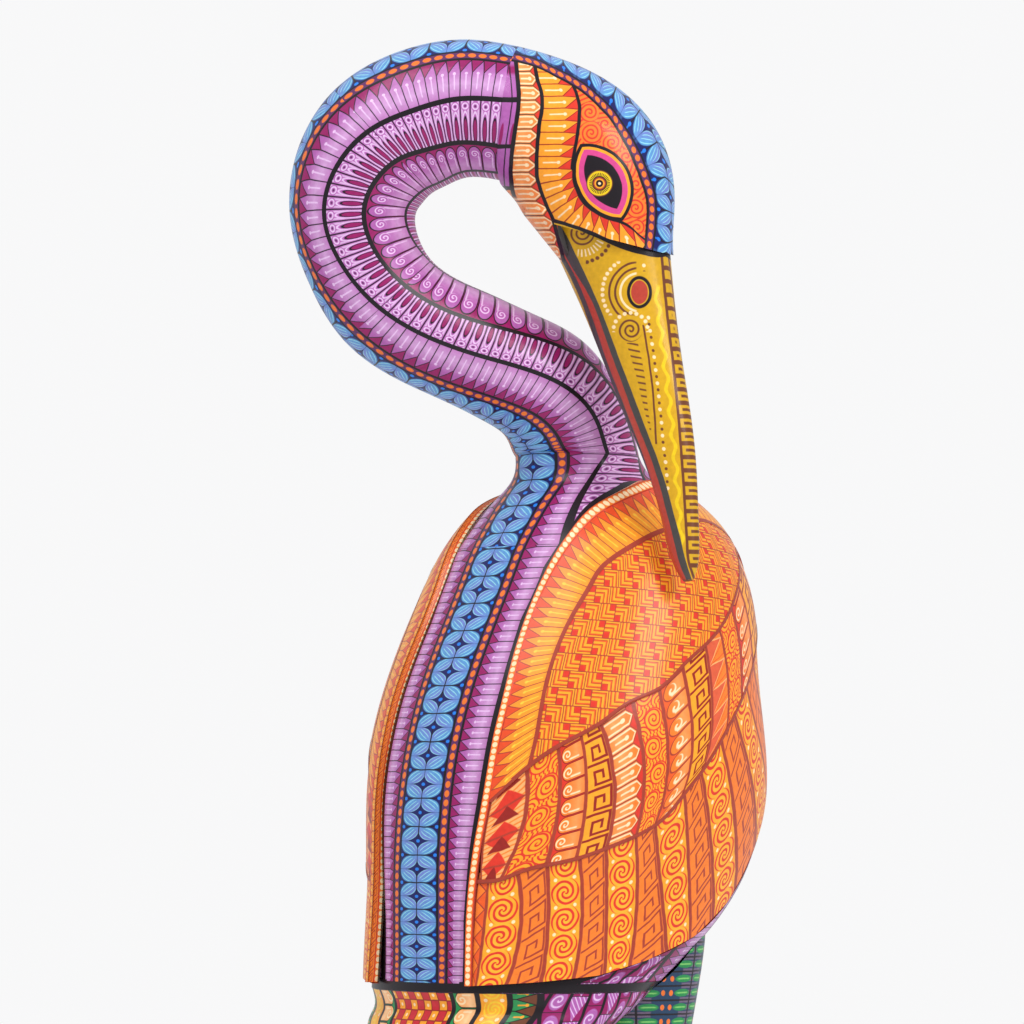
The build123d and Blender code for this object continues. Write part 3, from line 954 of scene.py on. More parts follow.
def hem(skin, line, top_out, bottom_out, width, hand):
    """The thick painted edge where one row of feathers ends above the next."""
    upper = curve_points(line, np.linspace(0, 1, HEM_ROWS))
    way = np.gradient(upper, axis=0) * STRETCH
    across = unit(np.stack([way[:, 1], -way[:, 0]], -1)) * width / STRETCH
    across *= np.sign(-across[:, 1:2] + 1e-9)     # always downwards
    lower = upper + across * 0.55
    upper = upper - across * 0.45
    ribbon(skin, upper, lower, top_out + 0.15, top_out + 0.1, divider_paint, 5, hand)
    last = lower + across * 0.08
    ribbon(skin, lower, last, top_out + 0.1, bottom_out - 0.6, divider_paint, 5, hand)


TILE_RADIUS = 97     # of the wing at the chevron tiles
LINE_AND_SHADOW_SHARE = 0.55     # width of the black line beside the beads, partly painted shadow of the wing's step, as a share of theirs
RAISED = 0.3     # how far the beads and the rays stand proud


def wing_piece(name, hand):
    """One folded wing; hand is 1 for the right one and -1 for the left one."""
    skin = Skin(name + "_paint")
    shares = np.linspace(0, 1, 260)

    # beads along the leading edge, and beside them a black line that is also painted shadow at the foot of
    # the wing's step
    edge, inner = matched(WING_EDGE, shares), matched(BEAD_EDGE, shares)
    edge_paint, edge_pitch = (bead_paint, BEAD_PITCH) if hand > 0 else (ray_paint, FLAME_PITCH)
    ribbon(skin, edge, inner, COVERT_LEVEL, COVERT_LEVEL + RAISED, edge_paint, edge_pitch, hand, columns=4)
    beside = edge + (edge - inner) * LINE_AND_SHADOW_SHARE
    # black line and painted shadow on the body below the wing's edge
    ribbon(skin, beside, edge, SHELL_DEPTH + 0.6, SHELL_DEPTH + 0.9, line_paint, 5, hand)
    foot = (COVERT_LEVEL + SHELL_DEPTH) / 2
    ribbon(skin, edge, edge, SHELL_DEPTH, foot, bead_paint, BEAD_PITCH, hand, columns=4)
    ribbon(skin, edge, edge, foot, COVERT_LEVEL, thin_key_paint, 7, hand)
    ribbon(skin, inner, inner, COVERT_LEVEL + RAISED, FLIGHT_LEVEL - 0.6, divider_paint, 5, hand)

    # rays, then the chevron tiles inside them
    outer, rim = matched(RAY_OUTER, shares), matched(CHEVRON_EDGE, shares)
    ribbon(skin, rim, outer, COVERT_LEVEL, COVERT_LEVEL + RAISED, ray_paint, FLAME_PITCH, hand, columns=12)
    near, far = rim - (outer - rim) * 0.03, rim + (outer - rim) * 0.08
    ribbon(skin, near, far, COVERT_LEVEL + 0.2, COVERT_LEVEL + 0.25, divider_paint, 5, hand)
    angle, height = between(rim, curve_points(COVERT_HEM[1:13], shares), np.linspace(0, 1, 24))
    around = radians(1) * TILE_RADIUS * angle
    wing_grid(skin, angle, height, COVERT_LEVEL + 0 * angle, around, height, chevron_paint, hand)

    feather_row(skin, MIDDLE_LINES, MIDDLE_PAINTS, COVERT_HEM, MIDDLE_HEM, MIDDLE_LEVEL, hand, 0.1)
    feather_row(skin, FLIGHT_LINES, FLIGHT_PAINTS, MIDDLE_HEM, FLIGHT_HEM, FLIGHT_LEVEL, hand, 0.08)
    hem(skin, COVERT_HEM, COVERT_LEVEL, MIDDLE_LEVEL, 2.0, hand)
    hem(skin, MIDDLE_HEM[:-1], MIDDLE_LEVEL, FLIGHT_LEVEL, 1.9, hand)
    last = curve_points(FLIGHT_HEM, shares)
    ribbon(skin, last, last, FLIGHT_LEVEL, SHELL_DEPTH, divider_paint, 5, hand, columns=4)
    skin.make("figure", "painted_wing", name)


wing_piece("right_wing", 1)
wing_piece("left_wing", -1)


# ---- head and bill ----

# Both sides of the face carry the same painting. It is laid out on a flat side view, in millimetres:
# p to the right and q up, as seen from the camera's side.
EYE_DISTANCE, EYE_HEIGHT = 2500, 420     # the camera's place, from which the side view is drawn
BILL_MIDDLE = [(59, -19.4, 676), (66.6, -18.2, 651), (78, -16.2, 614.5)]
HEAD_ROLL = radians(30)
HEAD_POINT = np.array([44.3, -23.2, 723.5])

bill_way = unit(np.array(BILL_MIDDLE[2]) - np.array(BILL_MIDDLE[0]))
bill_side = unit(LOOP_SIDE - bill_way * (bill_way @ LOOP_SIDE))
bill_crown = np.cross(bill_side, bill_way) * cos(HEAD_ROLL) + bill_side * sin(HEAD_ROLL)
face_side = np.cross(bill_way, bill_crown)


def dot(vector, x, y, z):
    return x * float(vector[0]) + y * float(vector[1]) + z * float(vector[2])


def side_view(x, y, z):
    """(p, q) on the side view and the distance from the middle plane, for a point on either side."""
    aside = dot(face_side, x, y, z) - float(face_side @ HEAD_POINT)
    fold = most(-aside, 0) * 2
    x, y, z = [value + fold * float(part) for value, part in zip((x, y, z), face_side)]
    scale = EYE_DISTANCE / (EYE_DISTANCE - dot(TOWARDS, x, y, z))
    return dot(RIGHT, x, y, z) * scale, (z - EYE_HEIGHT) * scale + EYE_HEIGHT, aside


def small_spirals(p, q, centres, gap):
    """Lines of several round spirals: (p, q, radius)."""
    found = None
    for cx, cy, radius in centres:
        x, y = p - cx, q - cy
        one = stroke(curl(x, y, gap), 0.2, 0.16) * below(reach(x, y), radius, 0.3)
        found = one if found is None else most(found, one)
    return found


# lines down the face, as (q, p) points: the neck's joint, then the ends of the two bands of feathers
NECK_JOINT = [
    (685, -2), (698.5, -11.3), (707, -17), (716, -22.5), (725, -27.5), (734, -28.6), (749.5, -27.5),
    (771.5, -24.6), (786, -25.6), (800, -27)]
FIRST_LINE = [
    (685, -1), (689.5, -1.8), (700, -4.5), (710.5, -7.2), (719, -11), (727.5, -13.9), (736, -15.6),
    (747.6, -15.3), (759, -14.2), (770.6, -12.8), (784, -15.6), (800, -18)]
SECOND_LINE = [(733, 2), (738.5, 2.4), (752.8, 4.6), (766, 6), (773, 4.9), (784, 0), (800, -10)]
# under the eye the second band turns about a centre: its radius by angle
TURN_CENTRE = (24, 737)
TURN_RADIUS = [(0, 20.8), (0.33, 21.6), (0.79, 23.2), (1.27, 24.6), (1.7, 27.7), (1.93, 37), (2.2, 60)]
# black lines that run on from the neck: q and half width
COLLAR_LINES = [(771.8, 1.3), (748.2, 1.1), (727, 1.1)]
# how far the crown's middle line lies from the head's middle plane, by sweep
CROWN_MIDDLE = [
    (-0.65, -5.8), (-0.4, -7), (0, -6), (0.37, -1.9), (0.85, 2.7), (1.22, 6.1), (1.48, 8.8),
    (1.74, 12.5), (1.93, 16.6), (2.2, 21.5)]
# the band's dotted line on the near side: its distance from CROWN_CENTRE and the length along it, by sweep
CROWN_CENTRE = (4, 722)
CROWN_RIM = [
    (-0.61, 44.9), (-0.4, 41.1), (0.01, 37.9), (0.37, 36.4), (0.85, 39.8), (1.22, 47.5), (1.36, 51.3),
    (1.48, 55.4), (1.62, 60.4), (1.74, 65.2), (1.83, 70.2), (1.93, 75.3), (2.1, 84)]
CROWN_LENGTH = [
    (-0.61, 0), (-0.4, 9.7), (0.01, 26.3), (0.37, 39.6), (0.85, 58), (1.22, 75.8), (1.36, 83.6),
    (1.48, 91.3), (1.62, 100.6), (1.74, 109.6), (1.83, 117.5), (1.93, 126.5), (2.1, 140)]
# the crown's paint ends left of this line of (q, p) points
CROWN_EDGE = [
    (690, 28), (705, 32), (722, 31), (735, 27), (752, 19), (767, 8), (777, -4), (784, -18),
    (788, -32), (800, -60)]
FEATHER_STEP, FEATHER_LENGTH = 6.1, 18     # of the face's second band
FEATHER_TURN = 30     # the radius at which its feathers keep their step as it turns
BROW, RING_STEP = (20, 741), 2.3     # the middle of the cheek's rings
CROWN_DOTS = 16.2     # from the crown's middle line to the middle of its dots
CROWN_ROWS = (2.9, 1.6, -1.6, -2.6)     # from the dots' middle: the edges of line, dots, line and flowers
DOT_ROW = 3.2
EYE_CORNERS = ((7, 748.5), (27, 711.5))
EYE = (16, 729.5)
# (p, q, radius)
FACE_SPIRALS = [
    (11, 765.5, 5), (11.9, 755, 5.9), (22.3, 750, 5.6), (34.3, 717, 5.2), (29.5, 743, 3.6),
    (35, 707, 4), (19, 759.5, 3), (34.5, 729, 3.4)]
# the black line between face and bill, as (p, q) points
SEAM = [(-12, 712), (-7, 710.7), (11, 704.7), (27.5, 697.4), (37.5, 694.6), (46, 693.3), (52, 695.5)]
# along the mouth, as (q, p) points: where the mustard begins, and where the lower bill's red ends and begins
BILL_EDGE = [
    (524, 64), (530, 62), (537, 59.7), (556, 54.9), (583.5, 47.3), (610, 37.5), (640, 26.2),
    (670, 14.8), (694, 3.8), (701, 0.5), (712, -6)]
RED_EDGE = [
    (524, 61), (530, 59), (537, 56.2), (556, 51.4), (583.5, 44), (610, 34), (640, 22.9), (670, 12),
    (688, 1.5), (700, -5)]
RED_START = [
    (524, 55), (537, 51.5), (556, 47.3), (583.5, 40.6), (610, 31), (640, 19.6), (670, 9.2),
    (688, 0.8), (700, -7)]


def almond(p, q):
    """Distance outside the eye's outline, which is two arcs between its corners."""
    (x0, y0), (x1, y1) = EYE_CORNERS
    half = ((x1 - x0) ** 2 + (y1 - y0) ** 2) ** 0.5 / 2
    along_x, along_y = (x1 - x0) / half / 2, (y1 - y0) / half / 2
    gaps = []
    for bulge, hand in ((12.0, 1), (14.2, -1)):
        radius = (half ** 2 + bulge ** 2) / (2 * bulge)
        back = radius - bulge
        cx = (x0 + x1) / 2 - along_y * back * hand
        cy = (y0 + y1) / 2 + along_x * back * hand
        gaps.append(reach(p, q, cx, cy) - radius)
    return most(*gaps)


CHEEK_STEP = 7.3
CHEEK_FEATHERS = feathers(
    rgb(249, 142, 68), rgb(252, 168, 95), RED, BROWN, CREAM, tip=0.66, tall=1.6, outline=CREAM)
FACE_FEATHERS = feathers(
    rgb(252, 158, 40), YELLOW_ORANGE, RED, DARK_RED, CREAM, tip=0.6, slant=0.9, tall=2.6)


def cheek_feathers(coat, p, q):
    """The first band: short rounded feathers next to the neck, and on under the mouth."""
    first = profile(q, FIRST_LINE)
    joint = profile(q, NECK_JOINT)
    across = (p - joint) / most(first - joint, 2) * 0.96
    coat.lay(below(p - first, 0, 0.3), CHEEK_FEATHERS, q / CHEEK_STEP + 0.3, across)
    coat.put(stroke(p - first, 1.0, 0.3), BLACK)


def face(coat, x, y, z):
    """The head: spirals, bands of feathers, the eye and the flower band over the crown."""
    p, q, aside = side_view(x, y, z)
    coat.colour = ORANGE

    # spirals over the cheek and brow
    rings = abs(fract(reach(p, q, *BROW) / RING_STEP) - 0.5)
    coat.put(stroke(rings, 0.2, 0.2), RED)
    for cx, cy, radius in FACE_SPIRALS:
        coat.put(below(reach(p, q, cx, cy), radius, 0.3), ORANGE)
    coat.put(small_spirals(p, q, FACE_SPIRALS, 2.2), RED)

    # the second band of feathers runs down behind the eye and turns forward under it
    second = profile(q, SECOND_LINE)
    tx, ty = TURN_CENTRE
    low = below(q, ty - 0.5, 1)
    turn = calc("ARCTAN2", most(ty - q, 0), tx - p)
    round_gap = reach(p, q, tx, ty) - profile(turn, TURN_RADIUS)
    from_eye = choose(low, second - p, round_gap)
    cell = most(q - ty, 0) / FEATHER_STEP - turn * (FEATHER_TURN / FEATHER_STEP)
    coat.lay(below(-from_eye, 0, 0.3), FACE_FEATHERS, cell, 1 - from_eye / FEATHER_LENGTH)
    coat.put(stroke(from_eye, 0.9, 0.3), BLACK)
    cheek_feathers(coat, p, q)

    # left of the joint the neck's own rows run on
    joint = profile(q, NECK_JOINT)
    collar = below(p - joint, 0, 0.3) * below(-q, -726)
    stripe = fract((joint - p) / FLAME_PITCH + 0.35) - 0.5
    coat.put(collar, LILAC)
    coat.put(collar * stroke(q - 787, 2.2, 2), MAGENTA)
    coat.put(collar * below(reach(stripe, q, 0.1, 754, 0.17, 6), 1, 0.2), MAGENTA)
    coat.put(collar * stroke(abs(stripe) - 0.5, 0.06), BLACK)
    for height, half in COLLAR_LINES:
        coat.put(collar * stroke(q - height, half, 0.3), BLACK)
    coat.put(stroke(p - joint, 1.1, 0.3) * below(-q, -722, 2), BLACK)

    # eye
    lid = almond(p, q)
    for edge, colour in ((1.0, BLACK), (-0.7, YELLOW_ORANGE), (-2.1, EYE_PINK), (-4.8, BLACK)):
        coat.put(below(lid, edge, 0.25), colour)
    ex, ey = p - EYE[0], q - EYE[1]
    away = reach(ex, ey)
    ticks = stroke(fract(bearing(ex, ey) * 36) - 0.5, 0.24, 0.2)
    for edge, colour in ((6.7, BROWN), (6.2, BRIGHT_YELLOW)):
        coat.put(below(away, edge, 0.25), colour)
    coat.put(below(away, 5.3, 0.25) * most(ticks, below(away, 3.7, 0.25)), BLACK)
    for edge, colour in ((3.2, DIVIDER), (2.5, YELLOW_ORANGE), (1.8, BLACK), (0.7, CREAM)):
        coat.put(below(away, edge, 0.25), colour)

    # the flower band over the crown, with its dotted edge
    cx, cy = CROWN_CENTRE
    sweep = calc("ARCTAN2", q - cy, p - cx)
    length = profile(sweep, CROWN_LENGTH)
    past = aside - profile(sweep, CROWN_MIDDLE)
    off = abs(past)
    far = below(past, 0, 0.5)
    inward = choose(far, profile(sweep, CROWN_RIM) - reach(p, q, cx, cy), off - CROWN_DOTS)
    crown = below(profile(q, CROWN_EDGE) - p, 0, 0.5)
    outer_line, dot_row, inner_line, flower_row = [crown * below(inward, edge, 0.3) for edge in CROWN_ROWS]
    coat.put(outer_line, BLACK)
    coat.lay(dot_row, dots, length / DOT_PITCH, inward / DOT_ROW + 0.5)
    coat.put(inner_line, BLACK)
    coat.lay(flower_row, flowers, length / FLOWER_PITCH, least(off / BAND_EDGES[0], 1))

    # the black line where the bill begins, and the bill's own paint below it
    seam = q - profile(p, SEAM)
    behind = below(p, -7, 0.5)
    coat.put(below(seam, 1.0, 0.3) * outside(behind), BLACK)
    coat.put(below(seam, -1.0, 0.3) * outside(behind), MUSTARD)


def line_side(p, q, points):
    """How far right of a drawn line a point is."""
    return p - profile(q, points)


def dot_ring(x, y, radius, count, size):
    """Round dots evenly round a circle about the origin."""
    place = (fract(bearing(x, y) * count) - 0.5) * (2 * pi * radius / count)
    return below(reach(reach(x, y) - radius, place), size, 0.4)


NOSTRIL = (36, 674.5)
MOUTH_CORNER = (7, 704.5)
BILL_SPIRAL = (31.5, 655.5)
MOUTH_RAYS = 34     # strokes and dots round the mouth's corner
STEP = 3.3     # between the dots and between the comb's teeth
TOOTH_STEP = 6.8
# lines along the bill, as (q, p) points, and the comb's half width
SPIRAL_TAIL = [(590, 45), (600, 44.2), (614, 43.4), (630, 42), (648, 39.5), (660, 37.5)]
COMB_LINE = [(600, 42.5), (617, 39), (632, 36.5), (648, 32.5)]
COMB_WIDTH = [(604, 0.3), (617, 1.1), (632, 2.1), (648, 2.9)]
DOTTED_LINE = [(575, 50), (584, 49.4), (600, 47.7), (615, 46.3), (640, 43.5), (665, 40), (690, 38)]
YELLOW_LINE = [(545, 57), (600, 52.8), (640, 48.5), (665, 45.5), (690, 43.5)]
CULMEN_LINE = [
    (528, 64.5), (534, 62), (542, 60), (556, 59.2), (583, 57.6), (620, 54.7), (640, 52.6), (672, 49),
    (695, 47)]


def horn(coat, x, y, z):
    """The bill: brown and cream drawing on mustard."""
    p, q, _ = side_view(x, y, z)
    coat.colour = MUSTARD

    # fan strokes and rows of dots round the mouth's corner
    mx, my = p - MOUTH_CORNER[0], q - MOUTH_CORNER[1]
    rays = stroke(fract(bearing(mx, my) * MOUTH_RAYS) - 0.5, 0.18, 0.2)
    beside = stroke(reach(mx, my) - 10.3, 1.8, 0.4) * below(my, -1, 0.5) * below(-p, -5, 0.5)
    coat.put(beside * rays, CREAM)
    coat.put(dot_ring(mx, my, 15, MOUTH_RAYS, 1.0) * below(-p, -9), BROWN)
    coat.put(small_spirals(p, q, [(*MOUTH_CORNER, 6.6)], 2.6), BROWN)

    # arcs and dots left of the nostril
    nx, ny = NOSTRIL
    nose_away = reach(p, q, nx, ny)
    facing = below(p - nx, -1.5, 0.8) * stroke(q - ny - 2, 13.5, 1)
    for radius, colour in ((9.6, CREAM), (12.2, BROWN), (15.2, BROWN)):
        coat.put(stroke(nose_away - radius, 0.55, 0.3) * facing, colour)
    coat.put(dot_ring(p - nx, q - ny, 18.6, 42, 0.95) * facing, CREAM)

    # nostril
    for radii, colour in (((6.3, 8.2), BLACK), ((4.7, 6.5), MUSTARD), ((4.2, 6.0), MOUTH_RED)):
        coat.put(below(reach(p, q, nx, ny, *radii), 1, 0.06), colour)

    # the spiral below it, with its cream dots, tail line and comb of short strokes
    sx, sy = p - BILL_SPIRAL[0], q - BILL_SPIRAL[1]
    coat.put(small_spirals(p, q, [(*BILL_SPIRAL, 6.0)], 2.7), BROWN)
    coat.put(dot_ring(sx, sy, 8.6, 18, 0.95) * below(-sy, 1, 0.5), CREAM)
    tail_line = line_side(p, q, SPIRAL_TAIL)
    coat.put(stroke(tail_line, 0.5, 0.3) * below(abs(q - 628), 30, 0.5), BROWN)
    comb = line_side(p, q, COMB_LINE)
    comb_width = profile(q, COMB_WIDTH)
    coat.put(below(abs(comb) - comb_width, 0, 0.4) * below(abs(q - 627), 22, 0.5)
             * stroke(fract(q / STEP + comb * 0.06) - 0.5, 0.15, 0.15), BROWN)

    # a line of cream and brown dots, then the bright yellow waves
    dot_line = line_side(p, q, DOTTED_LINE)
    step = q / STEP
    spot = reach(dot_line, fract(step) - 0.5, 0, 0, 0.75, 0.24)
    turn_about = odd(whole(step))
    along_dots = below(abs(q - 632), 58, 0.5) * below(-abs(q - ny), -10.5, 0.3)
    coat.put(below(spot, 1, 0.4) * along_dots * turn_about, BROWN)
    coat.put(below(spot, 1.15, 0.4) * along_dots * outside(turn_about), CREAM)
    waver = calc("SINE", q * 0.55) * 0.9
    yellow_line = line_side(p, q, YELLOW_LINE)
    coat.put(stroke(yellow_line - waver, 0.9, 0.5) * below(abs(q - 612), 66, 2), BRIGHT_YELLOW)

    # brown line and comb along the top edge of the bill
    culmen = line_side(p, q, CULMEN_LINE)
    coat.put(below(-culmen, 0, 0.3), MUSTARD)
    coat.put(stroke(culmen, 0.7, 0.3), BROWN)
    tooth_place = fract(q / TOOTH_STEP) - 0.5
    coat.put(below(-abs(tooth_place), -0.33, 0.06) * below(-culmen, 0, 0.3), BROWN)
    coat.put(stroke(tooth_place, 0.11, 0.06) * below(-culmen, -2.4, 0.5), BROWN)

    mouth_lines(coat, p, q)
    coat.put(below(profile(p, SEAM) - q, 1.2, 0.3), BLACK)


def mouth_lines(coat, p, q):
    """From the mouth forward: red, then dark grey, then the upper bill's mustard."""
    grey = below(line_side(p, q, BILL_EDGE), 0, 0.3)
    coat.put(grey, DARK_GREY)
    red = below(line_side(p, q, RED_EDGE), 0, 0.3) * below(-line_side(p, q, RED_START), 0, 0.3)
    coat.put(red, MOUTH_RED)
    coat.put(below(q, 530, 1) * grey, DARK_GREY)


def mouth(coat, x, y, z):
    """The lower bill: dark grey and red beside the mouth, a gold line, purple under the throat."""
    p, q, _ = side_view(x, y, z)
    start = line_side(p, q, RED_START)
    coat.colour = MUSTARD
    mouth_lines(coat, p, q)
    coat.put(below(start, -2.6, 0.3), MUSTARD)
    coat.put(below(start, -4.0, 0.3), BLACK)
    coat.put(below(start, -4.6, 0.3) * below(-q, -665, 12), LILAC)
    coat.lay(below(p, profile(q, FIRST_LINE) + 1, 0.3) * below(-q, -690, 1), cheek_feathers, p, q)


def dress(node, material):
    """Gives a CAD node one material."""
    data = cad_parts[node].data
    data.materials.clear()
    data.materials.append(material)
    data.polygons.foreach_set("material_index", np.zeros(len(data.polygons), np.int32))


dress("head", painted("face", face, source="object", wobble=0.3))
dress("upper_bill", painted("bill", horn, source="object", wobble=0.22))
lower_bill_paint = painted("lower bill", mouth, source="object", wobble=0.2)
dress("lower_bill", lower_bill_paint)


def node_points(name, low, high, deepest):
    """A node's vertices between two heights, on the throat's side of a plane, in millimetres."""
    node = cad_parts[name]
    points = np.array([node.matrix_world @ vertex.co for vertex in node.data.vertices]) / MM
    depth = (points - HEAD_POINT) @ bill_crown
    keep = (points[:, 2] > low) & (points[:, 2] < high) & (depth < deepest)
    return points[keep]


# the filler spans these parts of two nodes, as node_points reads them
THROAT_PLACES = [("head", 698, 712, -14), ("lower_bill", 686, 701, 0)]


def throat_piece():
    """Smooth filler that closes the step between the cheeks and the lower bill."""
    bones = bmesh.new()
    for place in THROAT_PLACES:
        for point in node_points(*place):
            bones.verts.new(point * MM)
    bmesh.ops.remove_doubles(bones, verts=bones.verts, dist=0.4 * MM)
    hull = bmesh.ops.convex_hull(bones, input=bones.verts)
    unused = hull["geom_interior"] + hull["geom_unused"]
    loose = {item for item in unused if isinstance(item, bmesh.types.BMVert)}
    bmesh.ops.delete(bones, geom=list(loose), context="VERTS")
    for side in bones.faces:
        side.smooth = True
    mesh = bpy.data.meshes.new("throat")
    bones.to_mesh(mesh)
    bones.free()
    mesh.materials.append(lower_bill_paint)
    throat = placed("throat", mesh)
    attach(throat, "figure")


throat_piece()


# ---- tail, legs, feet and plinth ----

SEAM_LINE = 0.4     # of the tail is still black under the seam
# height and half width
TAIL_WIDTHS = [(191.5, 34), (212, 46), (240, 54), (270, 61), (294, 66), (312, 71), (327.5, 75)]
DRAWN_WIDTH = 73     # the columns are laid out as if the tail were this wide all the way down
FLANK_DEPTH = 70
CHECK_SIZE, CHECKS_END, COLUMN_LINE_WIDTH = 4.9, 19.5, 2.5
CHECK_RED = rgb(202, 40, 52)
# the columns beside the checks, the outermost first: from where to where, the paint, the length of one cell
TAIL_COLUMNS = [
    (49.5, 57.5, feathers(GREEN, rgb(60, 150, 90), BROWN, BLACK, YELLOW_ORANGE, tip=0.1, tall=1.6), 5.5),
    (35.5, 46.5, waves(9, 11, line=rgb(250, 205, 50)), 9),
    (22.5, 32.5, petals(PEACH, CREAM, GREEN, BLACK, CREAM, 9, 10, gap_turn=2.2), 8)]


def tail_recipe(coat, x, y, z):
    """Columns down the tail: a checked middle, petals, scrolls and feathers, then the flanks' rows."""
    out = abs(x) / profile(z, TAIL_WIDTHS) * DRAWN_WIDTH
    flank(coat, z, y / FLANK_DEPTH)
    for low, high, paint, pitch in TAIL_COLUMNS:
        coat.put(below(out, high + COLUMN_LINE_WIDTH, 0.3), BLACK)
        coat.lay(below(out, high, 0.3), paint, z / pitch, (out - low) / (high - low))
    middle = below(out, CHECKS_END, 0.3)
    coat.put(below(out, CHECKS_END + COLUMN_LINE_WIDTH, 0.3), BLACK)
    across, up = out / CHECK_SIZE + 0.5, z / CHECK_SIZE
    check = odd(whole(across) + whole(up))
    coat.put(middle, YELLOW_ORANGE)
    coat.put(middle * check, CHECK_RED)
    cell_x, cell_z = fract(across), fract(up)
    coat.put(middle * outside(check) * below(reach(cell_x, cell_z, 0.5, 0.5, 0.16, 0.16), 1, 0.4), CREAM)
    coat.put(middle * below(least(least(cell_x, 1 - cell_x), least(cell_z, 1 - cell_z)), 0.06), DARK_RED)
    coat.put(below(-z, -(SEAM_Z - SEAM_LINE), 0.3), BLACK)


LEG_X, LEG_Y = 33, 15


def leg_recipe(coat, x, y, z):
    """Rings down the leg: dark blue with green drops, orange dots and grey triangles."""
    turn = bearing(abs(x) - LEG_X, y - LEG_Y)
    place = fract(turn * 6 + 0.25)
    level = z / 7
    leaf = fract(level) - 0.5
    coat.colour = LEG_BLUE
    coat.put(below(abs(place - 0.5), 0.24, 0.02), GREY_PURPLE)
    coat.put(below(abs(place - 0.5), 0.24, 0.02) * stroke(fract(level * 2) - 0.5, 0.12), LEG_BLUE)
    coat.put(below(reach(abs(place - 0.5), leaf, 0.2, 0, 0.17, 0.26), 1, 0.12), GREEN)
    coat.put(stroke(leaf, 0.05) * stroke(abs(place - 0.5) - 0.2, 0.12, 0.05), rgb(130, 205, 110))
    coat.put(stroke(place - 0.5, 0.02, 0.015), BLACK)
    coat.put(below(reach(abs(place - 0.5), leaf, 0.43, 0, 0.035, 0.2), 1, 0.2), DOT_ORANGE)
    coat.put(stroke(abs(leaf) - 0.5, 0.06, 0.06), BLACK)


CLAW_START, ANKLE = 58, 15     # from the leg's middle


def foot_recipe(coat, x, y, z):
    """Orange toes with red scales and dark claws."""
    away = reach(abs(x), y, LEG_X, LEG_Y)
    coat.colour = ORANGE
    scale = fract(away / 7)
    coat.put(stroke(scale - 0.5, 0.11, 0.06), RED)
    coat.put(stroke(scale, 0.08, 0.06), CREAM)
    coat.put(below(-away, -CLAW_START, 0.5), BLACK)
    coat.put(below(away, ANKLE, 0.5), DARK_PURPLE)


RIM_RING, LINE_RING, PETAL_RING = 126, 122, 112     # radii on the plinth
FLAMES_LOW, FLAMES_HIGH, RIM_DOTS = 6, 22, 24.5     # heights on its rim


def plinth_recipe(coat, x, y, z):
    """Dark purple top; the rim has a row of flames between dotted lines."""
    around = bearing(x, y)
    away = reach(x, y)
    coat.colour = rgb(60, 35, 75)
    rim = below(-away, -RIM_RING, 0.5)
    coat.lay(rim, flame_recipe, around * 150, (z - FLAMES_LOW) / (FLAMES_HIGH - FLAMES_LOW))
    dotted = below(reach(fract(around * 200), z, 0.5, RIM_DOTS, 0.3, 1.2), 1, 0.3)
    coat.put(rim * below(-z, -FLAMES_HIGH), BLACK)
    coat.put(rim * below(z, FLAMES_LOW), BLACK)
    coat.put(rim * dotted, DOT_ORANGE)
    coat.put(stroke(away - LINE_RING, 1.2, 0.3), DOT_ORANGE)
    petal = below(reach(fract(around * 90), away, 0.5, PETAL_RING, 0.33, 3.6), 1, 0.2)
    coat.put(stroke(away - PETAL_RING, 5, 0.4) * petal, MAGENTA)


dress("tail", painted("tail", tail_recipe, source="object", wobble=0.3))
leg_paint = painted("leg", leg_recipe, source="object", wobble=0.3)
foot_paint = painted("foot", foot_recipe, source="object", wobble=0.4)
for hand in ("right", "left"):
    dress(f"{hand}_thigh", leg_paint)
    dress(f"{hand}_shank", leg_paint)
    dress(f"{hand}_foot", foot_paint)
dress("base", painted("plinth", plinth_recipe, source="object", wobble=0.3))


def simple(name, colour, roughness, grain_scale, metallic=0.0, grain_depth=0.15, mottle=0.7):
    """A plain material with a fine grain; mottle is how light its dark spots are."""
    material, tree, shader = new_material(name)
    place = add_node(tree, "TexCoord", {})["Object"]
    grain = add_node(tree, "TexNoise", {"Scale": grain_scale, "Detail": 5, "Vector": place})["Fac"]
    darker = tuple(c * mottle for c in colour[:3]) + (1,)
    shades = {"Factor": grain, MIX_FIRST: darker, MIX_SECOND: colour}
    mixed = add_node(tree, "Mix", shades, data_type="RGBA")[MIX_RESULT]
    relief = add_node(tree, "Bump", {"Strength": grain_depth, "Distance": 0.0005, "Height": grain})[0]
    feed(tree, shader, {"Base Color": mixed, "Normal": relief, "Roughness": roughness, "Metallic": metallic})
    return material


bare_wood = simple("bare birch", rgb(205, 175, 130), 0.7, grain_scale=180)
for node in ("neck_dowels", "bill_dowel", "wing_dowels", "tail_dowels", "leg_dowels"):
    dress(node, bare_wood)
dress("base_felt", simple("felt", rgb(38, 38, 40), 0.95, grain_scale=900, grain_depth=0.8))
dress("leg_pins", simple("steel", rgb(170, 170, 175), 0.3, metallic=1.0, grain_scale=700))
dress("pin_sleeves", simple("brass", rgb(200, 165, 90), 0.3, metallic=1.0, grain_scale=700))


# ---- floor, light and camera ----

def aim(thing, direction):
    """Turns a camera or a light to look along a direction."""
    thing.rotation_mode = "QUATERNION"
    thing.rotation_quaternion = direction.to_track_quat("-Z", "Y")


# a long lens; at the figure's distance it looks this far up and aside, and sees this width
LOOK_UP, LOOK_ASIDE, VIEW_WIDTH = 144, 28, 512
SENSOR_WIDTH = 36
CAMERA_TILT = atan(LOOK_UP / EYE_DISTANCE)
CAMERA_YAW = atan(LOOK_ASIDE / EYE_DISTANCE)

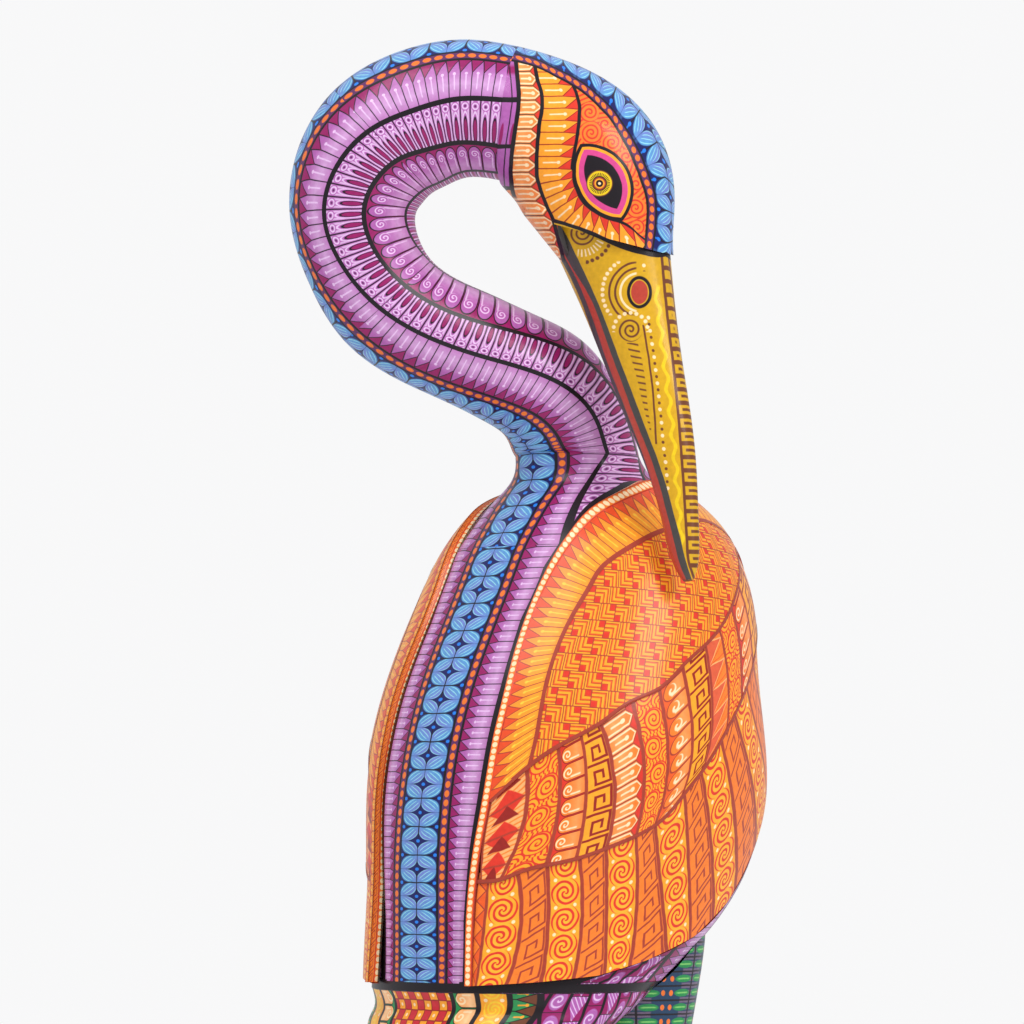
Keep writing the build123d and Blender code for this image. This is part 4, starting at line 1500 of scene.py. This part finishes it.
camera_data = bpy.data.cameras.new("camera")
camera_data.sensor_width = SENSOR_WIDTH
camera_data.lens = SENSOR_WIDTH * EYE_DISTANCE / VIEW_WIDTH
camera_data.clip_end = 50
camera = placed("camera", camera_data)
look = Matrix.Rotation(CAMERA_YAW, 3, "Z") @ (
    Vector(-TOWARDS) * cos(CAMERA_TILT) + Vector((0, 0, sin(CAMERA_TILT))))
camera.location = Vector(TOWARDS * EYE_DISTANCE + np.array([0, 0, EYE_HEIGHT])) * MM
aim(camera, look)
bpy.context.scene.camera = camera
bpy.context.scene.view_settings.view_transform = "Standard"

FLOOR_HALF = 3.0     # metres
floor_corners = [(x * FLOOR_HALF, y * FLOOR_HALF, 0) for x, y in ((-1, -1), (1, -1), (1, 1), (-1, 1))]
floor_mesh = bpy.data.meshes.new("floor")
floor_mesh.from_pydata(floor_corners, [], [(0, 1, 2, 3)])
floor_mesh.materials.append(
    simple("pale floor", rgb(247, 247, 248), 0.8, grain_scale=60, grain_depth=0.02, mottle=0.985))
floor = placed("floor", floor_mesh)

# the camera sees a plain pale backdrop, and dimmer surroundings light the figure
world = bpy.data.worlds.new("studio")
world.use_nodes = True
studio = world.node_tree
backdrop = studio.nodes["Background"]
backdrop.inputs["Color"].default_value = (0.94, 0.94, 0.945, 1)
surroundings = add_node(studio, "Background", {"Color": (0.94, 0.94, 0.96, 1), "Strength": 0.7})
seen = add_node(studio, "LightPath", {})["Is Camera Ray"]
either = add_node(studio, "MixShader", {0: seen, 1: surroundings[0], 2: backdrop.outputs[0]})
feed(studio, studio.nodes["World Output"], {"Surface": either[0]})
bpy.context.scene.world = world


AIM_POINT = Vector((0, 0, 0.55))


def softbox(name, right, up, towards, width, height, power):
    """A large soft light aimed at the body, placed by the camera's directions, in metres."""
    data = bpy.data.lights.new(name, "AREA")
    data.shape = "RECTANGLE"
    data.size = width
    data.size_y = height
    data.energy = power
    light = placed(name, data)
    light.location = Vector(RIGHT) * right + Vector(TOWARDS) * towards + Vector((0, 0, up))
    aim(light, AIM_POINT - light.location)


softbox("key light", right=1.3, up=1.9, towards=1.7, width=0.9, height=1.2, power=30)
softbox("top light", right=-0.9, up=2.2, towards=0.9, width=0.8, height=1.0, power=14)
